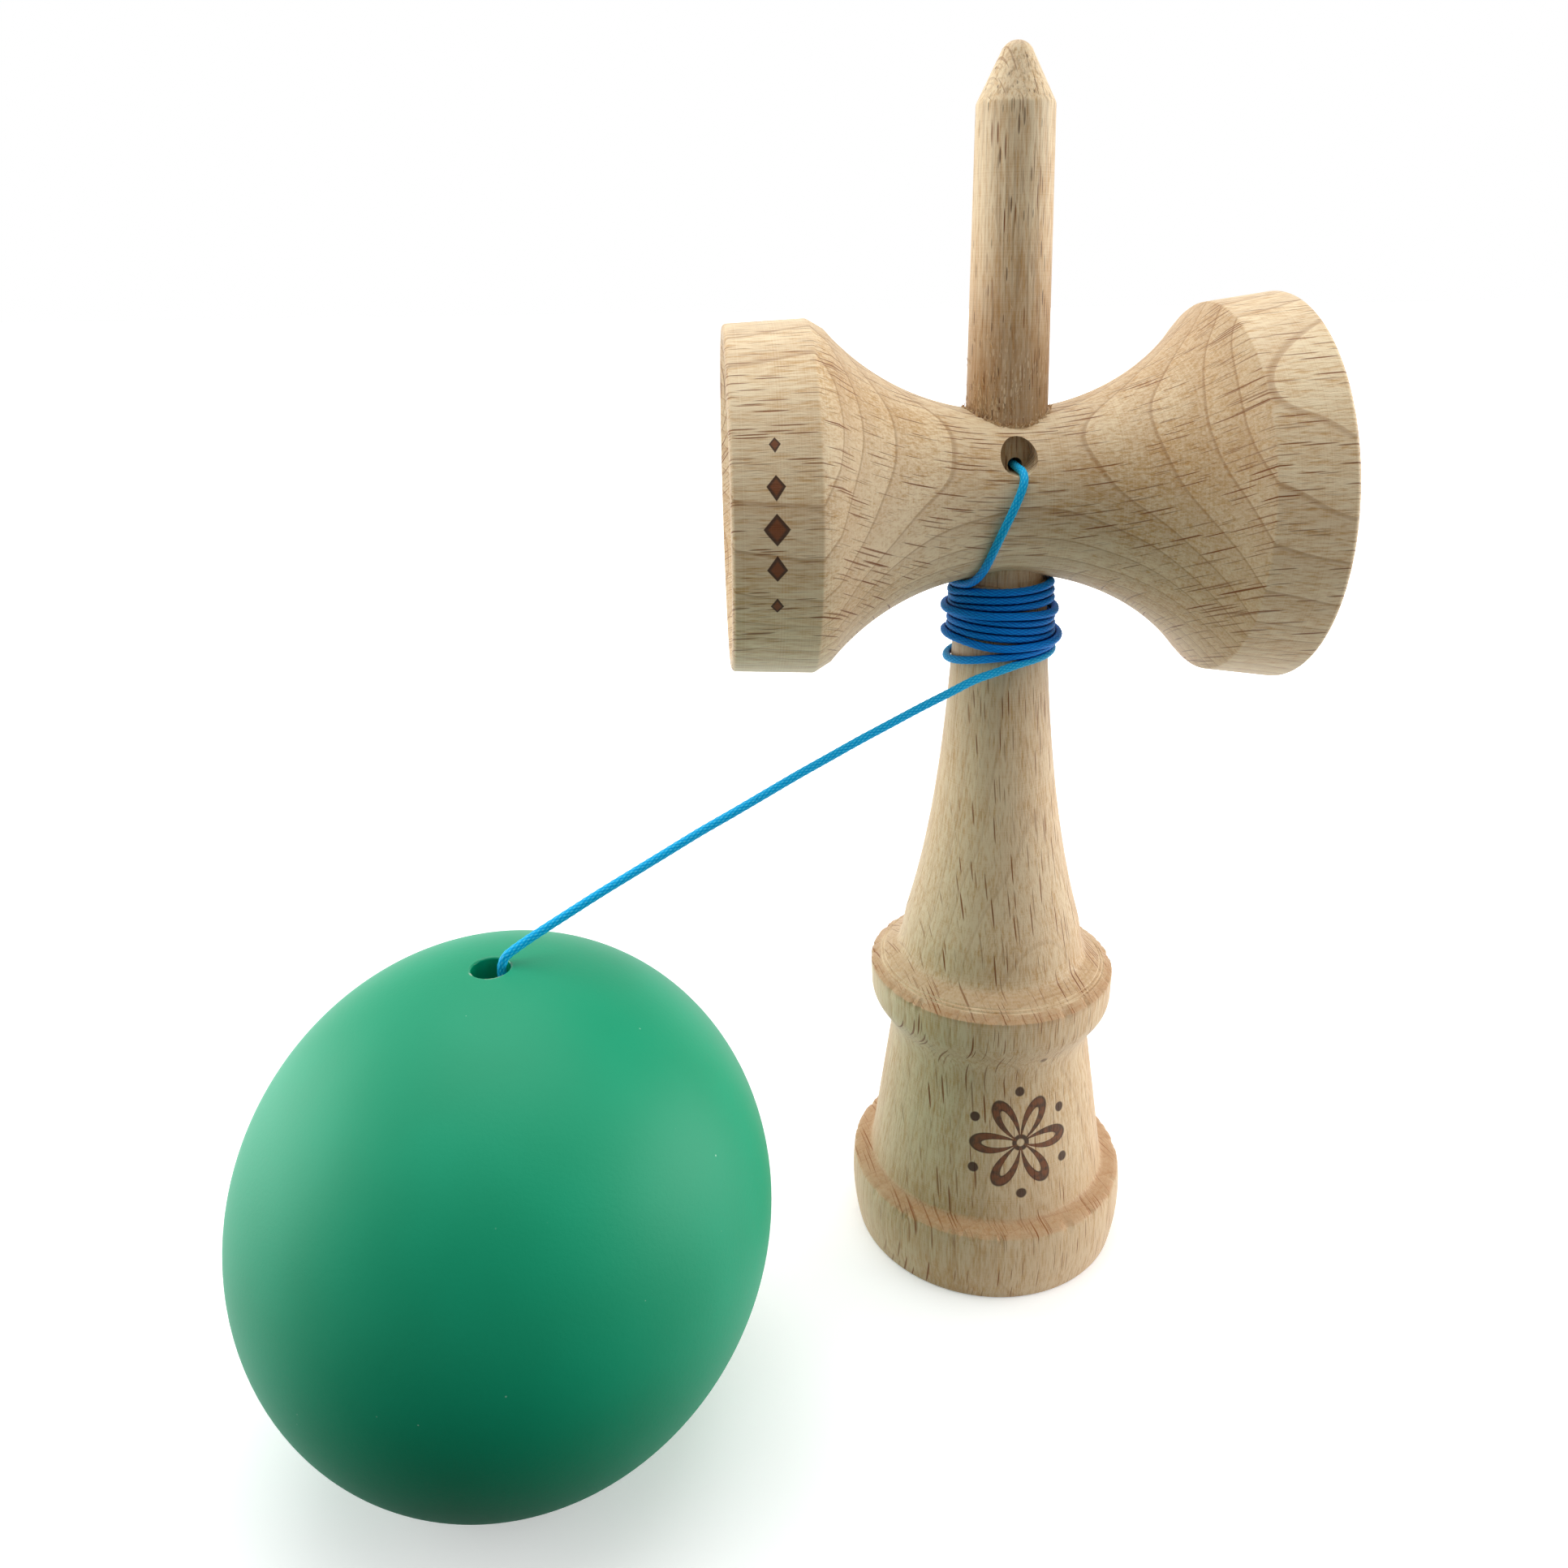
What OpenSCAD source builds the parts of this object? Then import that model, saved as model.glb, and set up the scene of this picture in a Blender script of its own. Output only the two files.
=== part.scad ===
// Kendama, a wooden cup-and-ball toy, standing ready on a table.
// The ken is one turned stick: a base cup, a flared handle with a slip ring, and a spike.
// A crosspiece with two cups is pushed down over the ken's tapered shaft.
// The ball stands beside the ken on the rim of its own hole. One cord runs from a knot in the
// shaft, out through the crosspiece, round the ken's neck, and into the ball, where a bead holds it.
// Millimetres. Origin: centre of the ken's base, on the table. +Z runs up the ken,
// +X towards the larger cup, and the cord comes out of the crosspiece on the -Y side.

/* [Ken] */
// Height from the table to the point of the spike
ken_h = 156; // [150:0.5:162]
// Diameter of the base ring at its widest
base_d = 37.2; // [36:0.1:39]
// Height of the base ring's upper edge
base_ring_h = 9.3; // [8.5:0.1:10]
// Width of the flat rim round the base cup
base_land = 1.2; // [0.8:0.1:2]
// Diameter of the lower body where it meets the base ring
body_foot_d = 31.4; // [30:0.1:33]
// Diameter of the lower body under the slip ring
body_top_d = 26.7; // [25:0.1:28]
// Diameter of the slip ring
slip_d = 32.4; // [30:0.1:34]
// Height of the slip ring's sharp upper edge
slip_h = 39.6; // [38:0.1:41]
// Diameter of the handle just above the slip ring
handle_foot_d = 22.7; // [20:0.1:24]
// Diameter of the handle's neck, under the crosspiece
neck_d = 11.2; // [11:0.1:11.6]
// Diameter of the spike where it leaves the crosspiece
spike_d = 9.9; // [9:0.1:10.2]
// Diameter of the spike where its point starts
spike_end_d = 9.2; // [8.6:0.1:9.6]
// Length of the spike's point
point_len = 6.9; // [6:0.1:8]
// Radius of the spike's blunt nose
nose_r = 2; // [1:0.1:2.2]

/* [Crosspiece] */
// Height of the crosspiece's axis above the table
cross_z = 103.8; // [102:0.1:106]
// Diameter of the crosspiece at its waist
waist_d = 20.2; // [19.6:0.1:21]
// Radius of the hollow flares on both sides of the waist
flare_r = 30; // [29:0.5:32]
// Outside diameter of the larger cup's rim
big_cup_d = 48; // [46:0.1:50]
// Outside diameter of the larger cup's corner, where its band starts
big_corner_d = 45; // [44:0.1:46]
// Distance from the ken's axis to the larger cup's rim
big_reach = 33.5; // [32.5:0.1:36]
// Outside diameter of the smaller cup's rim
small_cup_d = 42; // [41:0.1:43]
// Outside diameter of the smaller cup's corner, where its band starts
small_corner_d = 43; // [42:0.1:44]
// Distance from the ken's axis to the smaller cup's rim
small_reach = 34.5; // [33.5:0.1:36]
// Radius of the dish in every cup, a little more than the ball's
dish_r = 31; // [30.5:0.1:33]
// Width of the rim round both cups
cup_land = 1.3; // [1:0.1:2]
// Height of the cord's hole above the table
string_hole_z = 110; // [109:0.1:110.5]
// Diameter of the cord's hole in the crosspiece
string_hole_d = 4.2; // [3.6:0.1:4.4]

/* [Ball] */
// Diameter of the ball
ball_d = 60; // [59:0.5:62]
// Diameter of the ball's main hole, which takes the spike
ball_hole_d = 16; // [14:0.5:17]
// Diameter of the bevelled mouth that the ball stands on
ball_mouth_d = 20; // [19:0.5:22]
// Depth of the main hole's straight wall, from the table
ball_hole_depth = 39; // [34:0.5:39]
// Diameter of the chamber that the bead turns in
chamber_d = 9.5; // [9.2:0.1:11]
// Diameter of the cord's hole at the top of the ball
ball_string_d = 4.2; // [4:0.1:4.6]

/* [Cord and bead] */
// Diameter of the braided cord
cord_d = 1; // [0.8:0.05:1]
// Times the winding goes past the front of the neck
wind_passes = 6; // [4:1:6]
// Diameter of the bead in the ball
bead_d = 8.6; // [7:0.1:8.8]
// Length of the bead
bead_len = 6.5; // [5:0.1:7]
// Diameter of the cord's knots
knot_d = 3; // [2.6:0.1:3.2]

/* [Hidden] */
// Every node of the model
$fn = 96;

// Colours
beech = [0.80, 0.68, 0.52];
green = [0.16, 0.58, 0.42];
pale_wood = [0.86, 0.76, 0.58];
blue = [0.06, 0.42, 0.80];

// Ken: the base ring is a shallow barrel, fullest at a set height
ring_full_z = 6.5;
ring_barrel_r = 26;
ring_edge = 0.4;
body_foot_z = base_ring_h + 1.2;
body_top_z = slip_h - 10.4;
slip_side = 3;
slip_edge = 0.3;
shoulder_z = slip_h + 2;
shoulder_d = slip_d - 6.6;
handle_foot_z = slip_h + 7.4;

// Ken: the handle thins towards a slim limit that it would reach far above the crosspiece
handle_limit_d = 9.2;
neck_z = cross_z - waist_d / 2 - 0.8;
handle_fall = (neck_z - handle_foot_z) / ln((handle_foot_d - handle_limit_d) / (neck_d - handle_limit_d));
function handle_r(z) =
    handle_limit_d / 2 + (handle_foot_d - handle_limit_d) / 2 * exp((handle_foot_z - z) / handle_fall);

// Ken: the shaft tapers through the crosspiece and carries on as the spike
spike_z = cross_z + waist_d / 2;
point_z = ken_h - point_len;
spike_taper = (spike_d - spike_end_d) / 2 / (point_z - spike_z);
shaft_low_r = spike_d / 2 + spike_taper * (spike_z - neck_z);
point_half_angle = 25.6;
nose_z = ken_h - nose_r;
base_cup_r = base_d / 2 - 1 - base_land;

// Ken: hole for the cord and pocket for its knot
shaft_hole_d = 1.8;
pocket_d = 3.8;
pocket_depth = 3.8;
knot_gap = 0.1;
knot_flat = 0.3;

// Crosspiece: where its flares end at the corners of the two bands
function flare_x(d) = sqrt(pow(flare_r, 2) - pow(flare_r - (d - waist_d) / 2, 2));
big_corner_x = flare_x(big_corner_d);
small_corner_x = flare_x(small_corner_d - 1);
rim_round = 0.6;
big_dish_r = big_cup_d / 2 - cup_land;
small_dish_r = small_cup_d / 2 - cup_land;
string_bevel_r = string_hole_d / 2 + 0.35;

// Ball: it stands on the edge of its bevelled mouth
ball_x = -61.9;
ball_y = -28.1;
ball_z = sqrt(pow(ball_d / 2, 2) - pow(ball_mouth_d / 2, 2));
mouth_depth = 2.4;
chamber_top = ball_z + 22.5;
bead_gap = 0.3;
bead_top = chamber_top - bead_gap;
bead_hole_d = 1.4;
cone_len = (ball_hole_d - chamber_d) / 4;

// Winding: it runs clockwise seen from above, down the neck from the crosspiece
coil_top_z = 92.2;
coil_end_z = 83.9;
coil_gap_in = 0.08;
function coil_r(z) = handle_r(z) + coil_gap_in + cord_d / 2;
coil_start_a = -150;
coil_end_a = atan2(ball_y, ball_x) + acos(coil_r(coil_end_z) / norm([ball_x, ball_y]));
coil_turns = wind_passes + (coil_start_a - coil_end_a) / 360;
wind_pitch = (coil_top_z - coil_end_z) / coil_turns;
coil_rings = 24;
coil_sides = 6;

// Places where the cord flexes, and the half gap left there between its stretches
swing_pivot = [0.1, -7, 83.4];
lift_pivot = [-5.1, -8.8, 82.4];
tilt_pivot = [-59.1, -27.2, 59.9];
flex_gap = 0.8;
cord_sides = 8;

// Cord, from the knot in the shaft to the start of the winding
LEAD_ROUTE = [
    [0, 1.4, 110], [0, -2.5, 109.9], [0, -5.5, 109.6], [-0.1, -7.9, 109.4], [-0.1, -9.1, 109.1],
    [-0.2, -9.9, 108.2], [-0.3, -10.3, 107.1], [-0.8, -10.7, 105.4], [-1.5, -10.8, 103.8],
    [-2.2, -10.7, 101.9], [-2.8, -10.3, 100.3], [-3.4, -9.6, 98.5], [-3.9, -7.9, 96],
    [-4.3, -6.5, 94.6], [-4.5, -5.6, 93.5], [-4.7, -4.8, 92.7]
];

// Cord, from the winding to the place where it starts to drop
BEND_ROUTE = [swing_pivot, [-2.5, -7.9, 82.9], lift_pivot];

// Cord, nearly taut from the neck to the ball
SPAN_ROUTE = [
    lift_pivot, [-8.4, -10, 81.3], [-12.2, -11.3, 80], [-16, -12.6, 78.6], [-19.8, -13.9, 77.2],
    [-23.6, -15.2, 75.7], [-27.4, -16.5, 74.2], [-31.2, -17.8, 72.6], [-35, -19.1, 71],
    [-38.8, -20.3, 69.4], [-42.6, -21.6, 67.7], [-46.4, -22.9, 66], [-50.2, -24.2, 64.3],
    [-53.9, -25.4, 62.5], [-56.8, -26.4, 61.1], tilt_pivot
];

// Cord, over the lip of the ball's upper hole and down through the bead to its knot
TAIL_ROUTE = [
    tilt_pivot, [-60.3, -27.6, 59.1], [-60.6, -27.7, 58.5], [-60.8, -27.7, 57.8], [-60.8, -27.7, 56.6],
    [-61, -27.8, 54.9], [-61.5, -28, 53.1], [-61.9, -28.1, 51.4], [-61.9, -28.1, 48], [-61.9, -28.1, 43.6]
];

// Points along an arc, and along a cubic curve with two handles
function arc(c, r, a0, a1, n = 8) =
    [for (i = [0 : n]) c + r * [cos(a0 + (a1 - a0) * i / n), sin(a0 + (a1 - a0) * i / n)]];
function curve(p, n = 10) =
    [for (i = [0 : n]) let (t = i / n, s = 1 - t)
        s * s * s * p[0] + 3 * s * s * t * p[1] + 3 * s * t * t * p[2] + t * t * t * p[3]];
function last(v) = v[len(v) - 1];
function unit(v) = v / norm(v);

// Profile of the ken, radius against height, from the base to the spike's point
function ken_profile() = let (
    side_c = [base_d / 2 - ring_barrel_r, ring_full_z],
    foot_a = asin((0 - ring_full_z) / ring_barrel_r),
    edge_a = asin((base_ring_h - ring_edge - ring_full_z) / ring_barrel_r),
    slip_r = slip_d / 2,
    shoulder = [shoulder_d / 2, shoulder_z],
    handle_foot = [handle_foot_d / 2, handle_foot_z]
) concat(
    [[0, 0]],
    arc(side_c, ring_barrel_r, foot_a, edge_a, 10),
    [[base_d / 2 - 0.5, base_ring_h]],
    [[body_foot_d / 2 + 0.6, body_foot_z - 0.7]],
    [[body_foot_d / 2, body_foot_z]],
    curve([
        [body_top_d / 2, body_top_z], [body_top_d / 2 + 0.1, body_top_z + 4.2],
        [slip_r - 0.1, slip_h - slip_side - 3.2], [slip_r - 0.1, slip_h - slip_side]
    ]),
    [[slip_r, slip_h - slip_edge], [slip_r - slip_edge, slip_h]],
    curve([
        shoulder, shoulder + [-1, 0.6],
        handle_foot + [0.66, -2.4], handle_foot
    ]),
    [for (i = [1 : 12]) let (z = handle_foot_z + (neck_z - handle_foot_z) * i / 12) [handle_r(z), z]],
    [[shaft_low_r, neck_z], [spike_end_d / 2, point_z]],
    arc([0, nose_z], nose_r, point_half_angle, 90, 6)
);

// Profile of the crosspiece, radius against distance along its axis
function cross_profile() = let (
    flare_c = [waist_d / 2 + flare_r, 0],
    small_a = 180 + asin(small_corner_x / flare_r),
    big_a = 180 - asin(big_corner_x / flare_r),
    small_rim = [small_cup_d / 2, -small_reach],
    small_corner = [small_corner_d / 2, -small_corner_x - 1.6],
    big_rim = [big_cup_d / 2, big_reach]
) concat(
    [[0, -small_reach]],
    arc(small_rim + [-rim_round, rim_round], rim_round, -90, 0, 4),
    [small_corner + [0, -0.8], small_corner + [-0.15, 0.5]],
    arc(flare_c, flare_r, small_a, big_a, 24),
    [[big_corner_d / 2 + 0.25, big_corner_x + 0.35]],
    arc(big_rim + [-rim_round, -rim_round], rim_round, 0, 90, 4),
    [[0, big_reach]]
);

// Points of the winding, with a straight end one cord diameter long at each side
function coil_a(i) = coil_start_a - 360 * i / coil_rings;
function coil_z(i) = coil_top_z - wind_pitch * i / coil_rings;
function coil_point(i) = let (r = coil_r(coil_z(i))) [r * cos(coil_a(i)), r * sin(coil_a(i)), coil_z(i)];
function coil_way(i) = unit([sin(coil_a(i)), -cos(coil_a(i)), -wind_pitch / (2 * PI * coil_r(coil_z(i)))]);
coil_n = coil_turns * coil_rings;
coil_route = concat(
    [coil_point(0) - cord_d * coil_way(0)],
    [for (i = [0 : floor(coil_n)]) coil_point(i)],
    [coil_point(coil_n), coil_point(coil_n) + cord_d * coil_way(coil_n)]
);

// Least gap between one turn of the winding and the next, measured on its points
coil_gap = min([
    for (i = [0 : len(coil_route) - 1], j = [i + coil_rings / 2 : 1 : len(coil_route) - 1])
        norm(coil_route[i] - coil_route[j])
]) - cord_d;
echo(coil_gap = coil_gap);

// A route whose ends stop short of the places where the cord flexes
function short_start(p, gap) = concat([p[0] + gap * unit(p[1] - p[0])], [for (i = [1 : len(p) - 1]) p[i]]);
function reversed(p) = [for (i = [len(p) - 1 : -1 : 0]) p[i]];
function short_both(p, gap) = reversed(short_start(reversed(short_start(p, gap)), gap));

// Round tube swept along a route; side gives the plane that its rings are counted from
module tube(p, d, sides, side) {
    n = len(p);
    function way(i) = unit(p[min(i + 1, n - 1)] - p[max(i - 1, 0)]);
    function ring(i) = let (w = way(i), u = unit(cross(w, side)), v = cross(u, w))
        [for (k = [0 : sides - 1]) p[i] + d / 2 * (cos(360 * k / sides) * u + sin(360 * k / sides) * v)];
    points = [for (i = [0 : n - 1]) each ring(i)];
    walls = [
        for (i = [0 : n - 2], k = [0 : sides - 1])
            let (a = i * sides + k, b = i * sides + (k + 1) % sides)
                each [[a, b, b + sides], [a, b + sides, a + sides]]
    ];
    ends = [
        for (k = [1 : sides - 2])
            each [[0, k + 1, k], [(n - 1) * sides, (n - 1) * sides + k, (n - 1) * sides + k + 1]]
    ];
    polyhedron(points = points, faces = concat(walls, ends));
}

// Turned stick with its base cup, and the cord's hole and knot pocket in the shaft
module ken() {
    color(beech)
    difference() {
        rotate_extrude() polygon(ken_profile());
        translate([0, 0, -sqrt(pow(dish_r, 2) - pow(base_cup_r, 2))]) sphere(r = dish_r);
        translate([0, spike_d, string_hole_z])
            rotate([90, 0, 0]) cylinder(d = shaft_hole_d, h = 2 * spike_d);
        translate([0, spike_d, string_hole_z])
            rotate([90, 0, 0]) cylinder(d = pocket_d, h = spike_d / 2 + pocket_depth);
    }
}

// Crosspiece with a dished cup at each end, bored for the shaft and drilled for the cord
module sarado() {
    color(beech)
    translate([0, 0, cross_z])
    difference() {
        rotate([0, 90, 0]) rotate_extrude() polygon(cross_profile());
        translate([big_reach + sqrt(pow(dish_r, 2) - pow(big_dish_r, 2)), 0, 0]) sphere(r = dish_r);
        translate([-small_reach - sqrt(pow(dish_r, 2) - pow(small_dish_r, 2)), 0, 0]) sphere(r = dish_r);
        shaft_bore();
        translate([0, 0, string_hole_z - cross_z])
            rotate([90, 0, 0]) cylinder(d = string_hole_d, h = waist_d);
        translate([0, -waist_d / 2 + 2.4, string_hole_z - cross_z])
            rotate([90, 0, 0]) cylinder(r1 = string_hole_d / 2, r2 = string_bevel_r + 1.2, h = 4);
    }
}

// Tapered bore that jams on the ken's shaft
module shaft_bore() {
    reach = 4;
    low = neck_z - cross_z;
    high = spike_z - cross_z;
    translate([0, 0, low - reach])
        cylinder(
            r1 = shaft_low_r + spike_taper * reach,
            r2 = spike_d / 2 - spike_taper * reach,
            h = high - low + 2 * reach
        );
}

// Ball with its main hole below, the bead's chamber above that and the cord's hole on top
module tama() {
    color(green)
    translate([ball_x, ball_y, 0])
    difference() {
        translate([0, 0, ball_z]) sphere(d = ball_d);
        translate([0, 0, -ball_d]) cylinder(d = ball_hole_d, h = ball_d + ball_hole_depth);
        translate([0, 0, mouth_depth - 4])
            cylinder(
                d1 = ball_mouth_d + (ball_mouth_d - ball_hole_d) * (4 - mouth_depth) / mouth_depth,
                d2 = ball_hole_d,
                h = 4
            );
        translate([0, 0, ball_hole_depth]) cylinder(d1 = ball_hole_d, d2 = chamber_d, h = cone_len);
        translate([0, 0, ball_hole_depth]) cylinder(d = chamber_d, h = chamber_top - ball_hole_depth);
        translate([0, 0, ball_hole_depth]) cylinder(d = ball_string_d, h = ball_d);
    }
}

// Barrel bead that the cord is knotted under
module bead() {
    color(pale_wood)
    translate([ball_x, ball_y, bead_top - bead_len])
    difference() {
        intersection() {
            cylinder(d = bead_d, h = bead_len);
            translate([0, 0, bead_len / 2]) sphere(r = bead_d / 2 + 0.35);
        }
        translate([0, 0, -1]) cylinder(d = bead_hole_d, h = bead_len + 2);
    }
}

// Knot that is pulled flat against the face at its foot
module stopper_knot() {
    intersection() {
        translate([0, 0, knot_d / 2 - knot_flat]) sphere(d = knot_d);
        cylinder(d = knot_d, h = knot_d);
    }
}

// Stopper knot in the shaft's pocket
module ken_knot() {
    color(blue)
    translate([0, spike_d / 2 - pocket_depth + knot_gap, string_hole_z]) rotate([-90, 0, 0]) stopper_knot();
}

// Stopper knot under the bead
module bead_knot() {
    color(blue)
    translate([ball_x, ball_y, bead_top - bead_len]) rotate([180, 0, 0]) stopper_knot();
}

// Cord through the shaft and the crosspiece, and down its front to the winding
module cord_lead() {
    color(blue) tube(concat(LEAD_ROUTE, [coil_route[0]]), cord_d, cord_sides, [1, 0, 0]);
}

// Cord wound round the neck
module cord_winding() {
    color(blue) tube(coil_route, cord_d, coil_sides, [0, 0, 1]);
}

// Short stretch where the cord leaves the winding
module cord_bend() {
    color(blue) tube(short_both(BEND_ROUTE, flex_gap), cord_d, cord_sides, [0, 0, 1]);
}

// Cord from the neck to the ball
module cord_span() {
    color(blue) tube(short_both(SPAN_ROUTE, flex_gap), cord_d, cord_sides, [0, 0, 1]);
}

// Cord over the lip of the ball's hole and down to the knot
module cord_tail() {
    color(blue) tube(short_start(TAIL_ROUTE, flex_gap), cord_d, cord_sides, [0.32, -0.95, 0]);
}

ken();
sarado();
tama();
bead();
ken_knot();
bead_knot();
cord_lead();
cord_winding();
cord_bend();
cord_span();
cord_tail();
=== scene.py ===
# %% [markdown]
# # A kendama, dressed in Blender
# A kendama is a wooden cup-and-ball toy: a turned stick called the ken, a crosspiece with two cups,
# a painted ball and one cord. The CAD model holds the sizes and the joints. This lesson gives each
# piece its finished mesh and its material, and never moves what the CAD model placed.

# %% Load the frame
import math

import bmesh
import bpy
import numpy as np
from mathutils import Matrix, Vector, kdtree, noise


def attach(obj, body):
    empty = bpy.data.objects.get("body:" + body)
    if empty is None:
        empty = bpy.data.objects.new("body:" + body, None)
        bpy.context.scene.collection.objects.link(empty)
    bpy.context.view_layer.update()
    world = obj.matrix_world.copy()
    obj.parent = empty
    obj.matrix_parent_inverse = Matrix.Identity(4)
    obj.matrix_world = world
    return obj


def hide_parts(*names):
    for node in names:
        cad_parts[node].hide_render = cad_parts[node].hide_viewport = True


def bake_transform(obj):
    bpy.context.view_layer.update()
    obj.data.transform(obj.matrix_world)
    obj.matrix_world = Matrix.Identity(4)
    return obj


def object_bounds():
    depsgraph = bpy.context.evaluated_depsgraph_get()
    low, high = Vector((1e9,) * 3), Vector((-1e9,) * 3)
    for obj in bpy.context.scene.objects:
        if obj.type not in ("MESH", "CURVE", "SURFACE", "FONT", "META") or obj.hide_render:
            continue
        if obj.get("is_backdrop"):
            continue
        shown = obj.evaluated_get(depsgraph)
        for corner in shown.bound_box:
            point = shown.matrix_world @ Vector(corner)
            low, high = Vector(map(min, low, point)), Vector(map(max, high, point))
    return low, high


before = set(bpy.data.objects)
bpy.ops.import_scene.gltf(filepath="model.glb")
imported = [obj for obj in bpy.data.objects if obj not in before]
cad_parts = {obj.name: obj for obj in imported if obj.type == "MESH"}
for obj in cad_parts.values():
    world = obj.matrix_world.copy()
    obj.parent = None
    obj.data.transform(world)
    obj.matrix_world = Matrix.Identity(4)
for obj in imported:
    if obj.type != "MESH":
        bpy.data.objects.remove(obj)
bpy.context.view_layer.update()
MM = 0.001
print("CAD nodes:", sorted(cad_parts))

# %% [markdown]
# ## The camera
# The view is a close one from a little above, so the ball in front looks large and slightly stretched.
# A camera could be aimed by eye. Here its place, its turns and its focal length were worked out from
# the outline of the toy, and the lens shift keeps the frame where the picture was cut.

# %% Place the camera
PICTURE = 1932
FOCAL_PIXELS = 1591.26
LOOK_PIXEL = (979.36, 729.78)
EYE = Vector((-38.09, -155.60, 132.61)) * MM
YAW, PITCH, ROLL = 0.0764, 0.2558, 0.0116

ahead = Vector((math.sin(YAW) * math.cos(PITCH), math.cos(YAW) * math.cos(PITCH), -math.sin(PITCH)))
level = Vector((math.cos(YAW), -math.sin(YAW), 0))
down = ahead.cross(level)
right = math.cos(ROLL) * level + math.sin(ROLL) * down
up = math.sin(ROLL) * level - math.cos(ROLL) * down
lens = bpy.data.cameras.new("camera")
lens.lens = FOCAL_PIXELS / PICTURE * lens.sensor_width
lens.shift_x = (PICTURE / 2 - LOOK_PIXEL[0]) / PICTURE
lens.shift_y = (LOOK_PIXEL[1] - PICTURE / 2) / PICTURE
lens.clip_start = 0.01
camera = bpy.data.objects.new("camera", lens)
turn = Matrix((right, up, -ahead)).transposed().to_4x4()
camera.matrix_world = Matrix.Translation(EYE) @ turn
bpy.context.scene.collection.objects.link(camera)
bpy.context.scene.camera = camera
print("camera lens", round(lens.lens, 2), "mm")

# %% [markdown]
# ## Helpers for curves
# Everything here is either turned on a lathe or follows a line, so two small helpers carry most of the
# work: points along an arc, and points along a smooth line through chosen places. A Blender curve
# object could draw the same lines, but plain arrays let later steps measure and push them.

# %% Arcs, soft corners and smooth lines
def arc(centre, radius, start, end, count=12):
    """Points on an arc, angles in degrees."""
    turns = np.radians(np.linspace(start, end, count + 1))
    return [(centre[0] + radius * math.cos(t), centre[1] + radius * math.sin(t)) for t in turns]


def bend(handles, count=24):
    """Points on a cubic curve with two handles."""
    p = np.array(handles, float)
    t = np.linspace(0, 1, count + 1)[:, None]
    s = 1 - t
    line = s**3 * p[0] + 3 * s * s * t * p[1] + 3 * s * t * t * p[2] + t**3 * p[3]
    return [tuple(q) for q in line]


def soft_corner(before, corner, after, radius, count=6):
    """A corner of an outline, rounded to a radius."""
    a, b, c = (np.array(q, float) for q in (before, corner, after))
    u = (a - b) / np.linalg.norm(a - b)
    v = (c - b) / np.linalg.norm(c - b)
    half = math.acos(float(np.clip(u @ v, -1, 1))) / 2
    reach = radius / math.tan(half)
    start, end = b + reach * u, b + reach * v
    middle = b + (u + v) / np.linalg.norm(u + v) * radius / math.sin(half)
    ways = [start - middle, end - middle]
    share = np.linspace(0, 1, count + 1)
    angle = math.pi - 2 * half
    line = [
        (math.sin((1 - k) * angle) * ways[0] + math.sin(k * angle) * ways[1]) / math.sin(angle)
        for k in share
    ]
    return [tuple(middle + q) for q in line]


def finely(points, step):
    """The same line with no stretch longer than step."""
    out = []
    for a, b in zip(points[:-1], points[1:]):
        a, b = np.array(a, float), np.array(b, float)
        parts = max(1, math.ceil(np.linalg.norm(b - a) / step))
        out += [tuple(a + (b - a) * k / parts) for k in range(parts)]
    return np.array(out + [tuple(points[-1])], float)


def length_along(points):
    """Distance along a line at each of its points."""
    steps = np.linalg.norm(np.diff(points, axis=0), axis=1)
    return np.concatenate([[0], np.cumsum(steps)])


def smooth_line(points, step):
    """A smooth line through the points, in even steps."""
    p = np.array(points, float)
    p = np.vstack([2 * p[0] - p[1], p, 2 * p[-1] - p[-2]])
    fine = []
    for a, b, c, d in zip(p[:-3], p[1:-2], p[2:-1], p[3:]):
        square, cube = 2 * a - 5 * b + 4 * c - d, 3 * b - a - 3 * c + d
        for t in np.linspace(0, 1, 16, endpoint=False):
            fine.append(0.5 * (2 * b + (c - a) * t + square * t**2 + cube * t**3))
    fine = np.array(fine + [p[-2]])
    along = length_along(fine)
    even = np.linspace(0, along[-1], max(2, round(along[-1] / step) + 1))
    return np.stack([np.interp(even, along, fine[:, k]) for k in range(3)], 1)


def nearest(line, place):
    """Which point of a line is closest to a place."""
    return int(np.argmin(np.linalg.norm(line - np.array(place), axis=1)))


print("a quarter turn of an arc has", len(arc((0, 0), 1, 0, 90)), "points")

# %% [markdown]
# ## Where the wood is
# The cord lies on the ken's neck and on the crosspiece, so their outlines come first, in millimetres.
# The handle thins upwards like a decaying curve, which a turner makes by eye and a formula gives exactly.

# %% Sizes of the turned pieces
# D is a diameter, R a radius, Z a height above the table
KEN_H = 156
BASE_D, BASE_RING_H, BASE_LAND = 37.2, 9.3, 1.2
BODY_FOOT_D, BODY_TOP_D = 31.4, 26.7
SLIP_D, SLIP_H, SLIP_SIDE = 32.4, 39.6, 3
HANDLE_FOOT_D, HANDLE_LIMIT_D, NECK_D = 22.7, 9.2, 11.2
SPIKE_D, SPIKE_END_D, POINT_LEN, NOSE_R = 9.9, 9.2, 6.9, 2
CROSS_Z, WAIST_D, FLARE_R = 103.8, 20.2, 30
BIG_CUP_D, BIG_CORNER_D, BIG_REACH = 48, 45, 33.5
SMALL_CUP_D, SMALL_CORNER_D, SMALL_REACH = 42, 43, 34.5
DISH_R, CUP_LAND = 31, 1.3
STRING_HOLE_Z = 110
BALL_D, BALL_HOLE_D, BALL_MOUTH_D, BALL_HOLE_DEPTH = 60, 16, 20, 39
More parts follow.
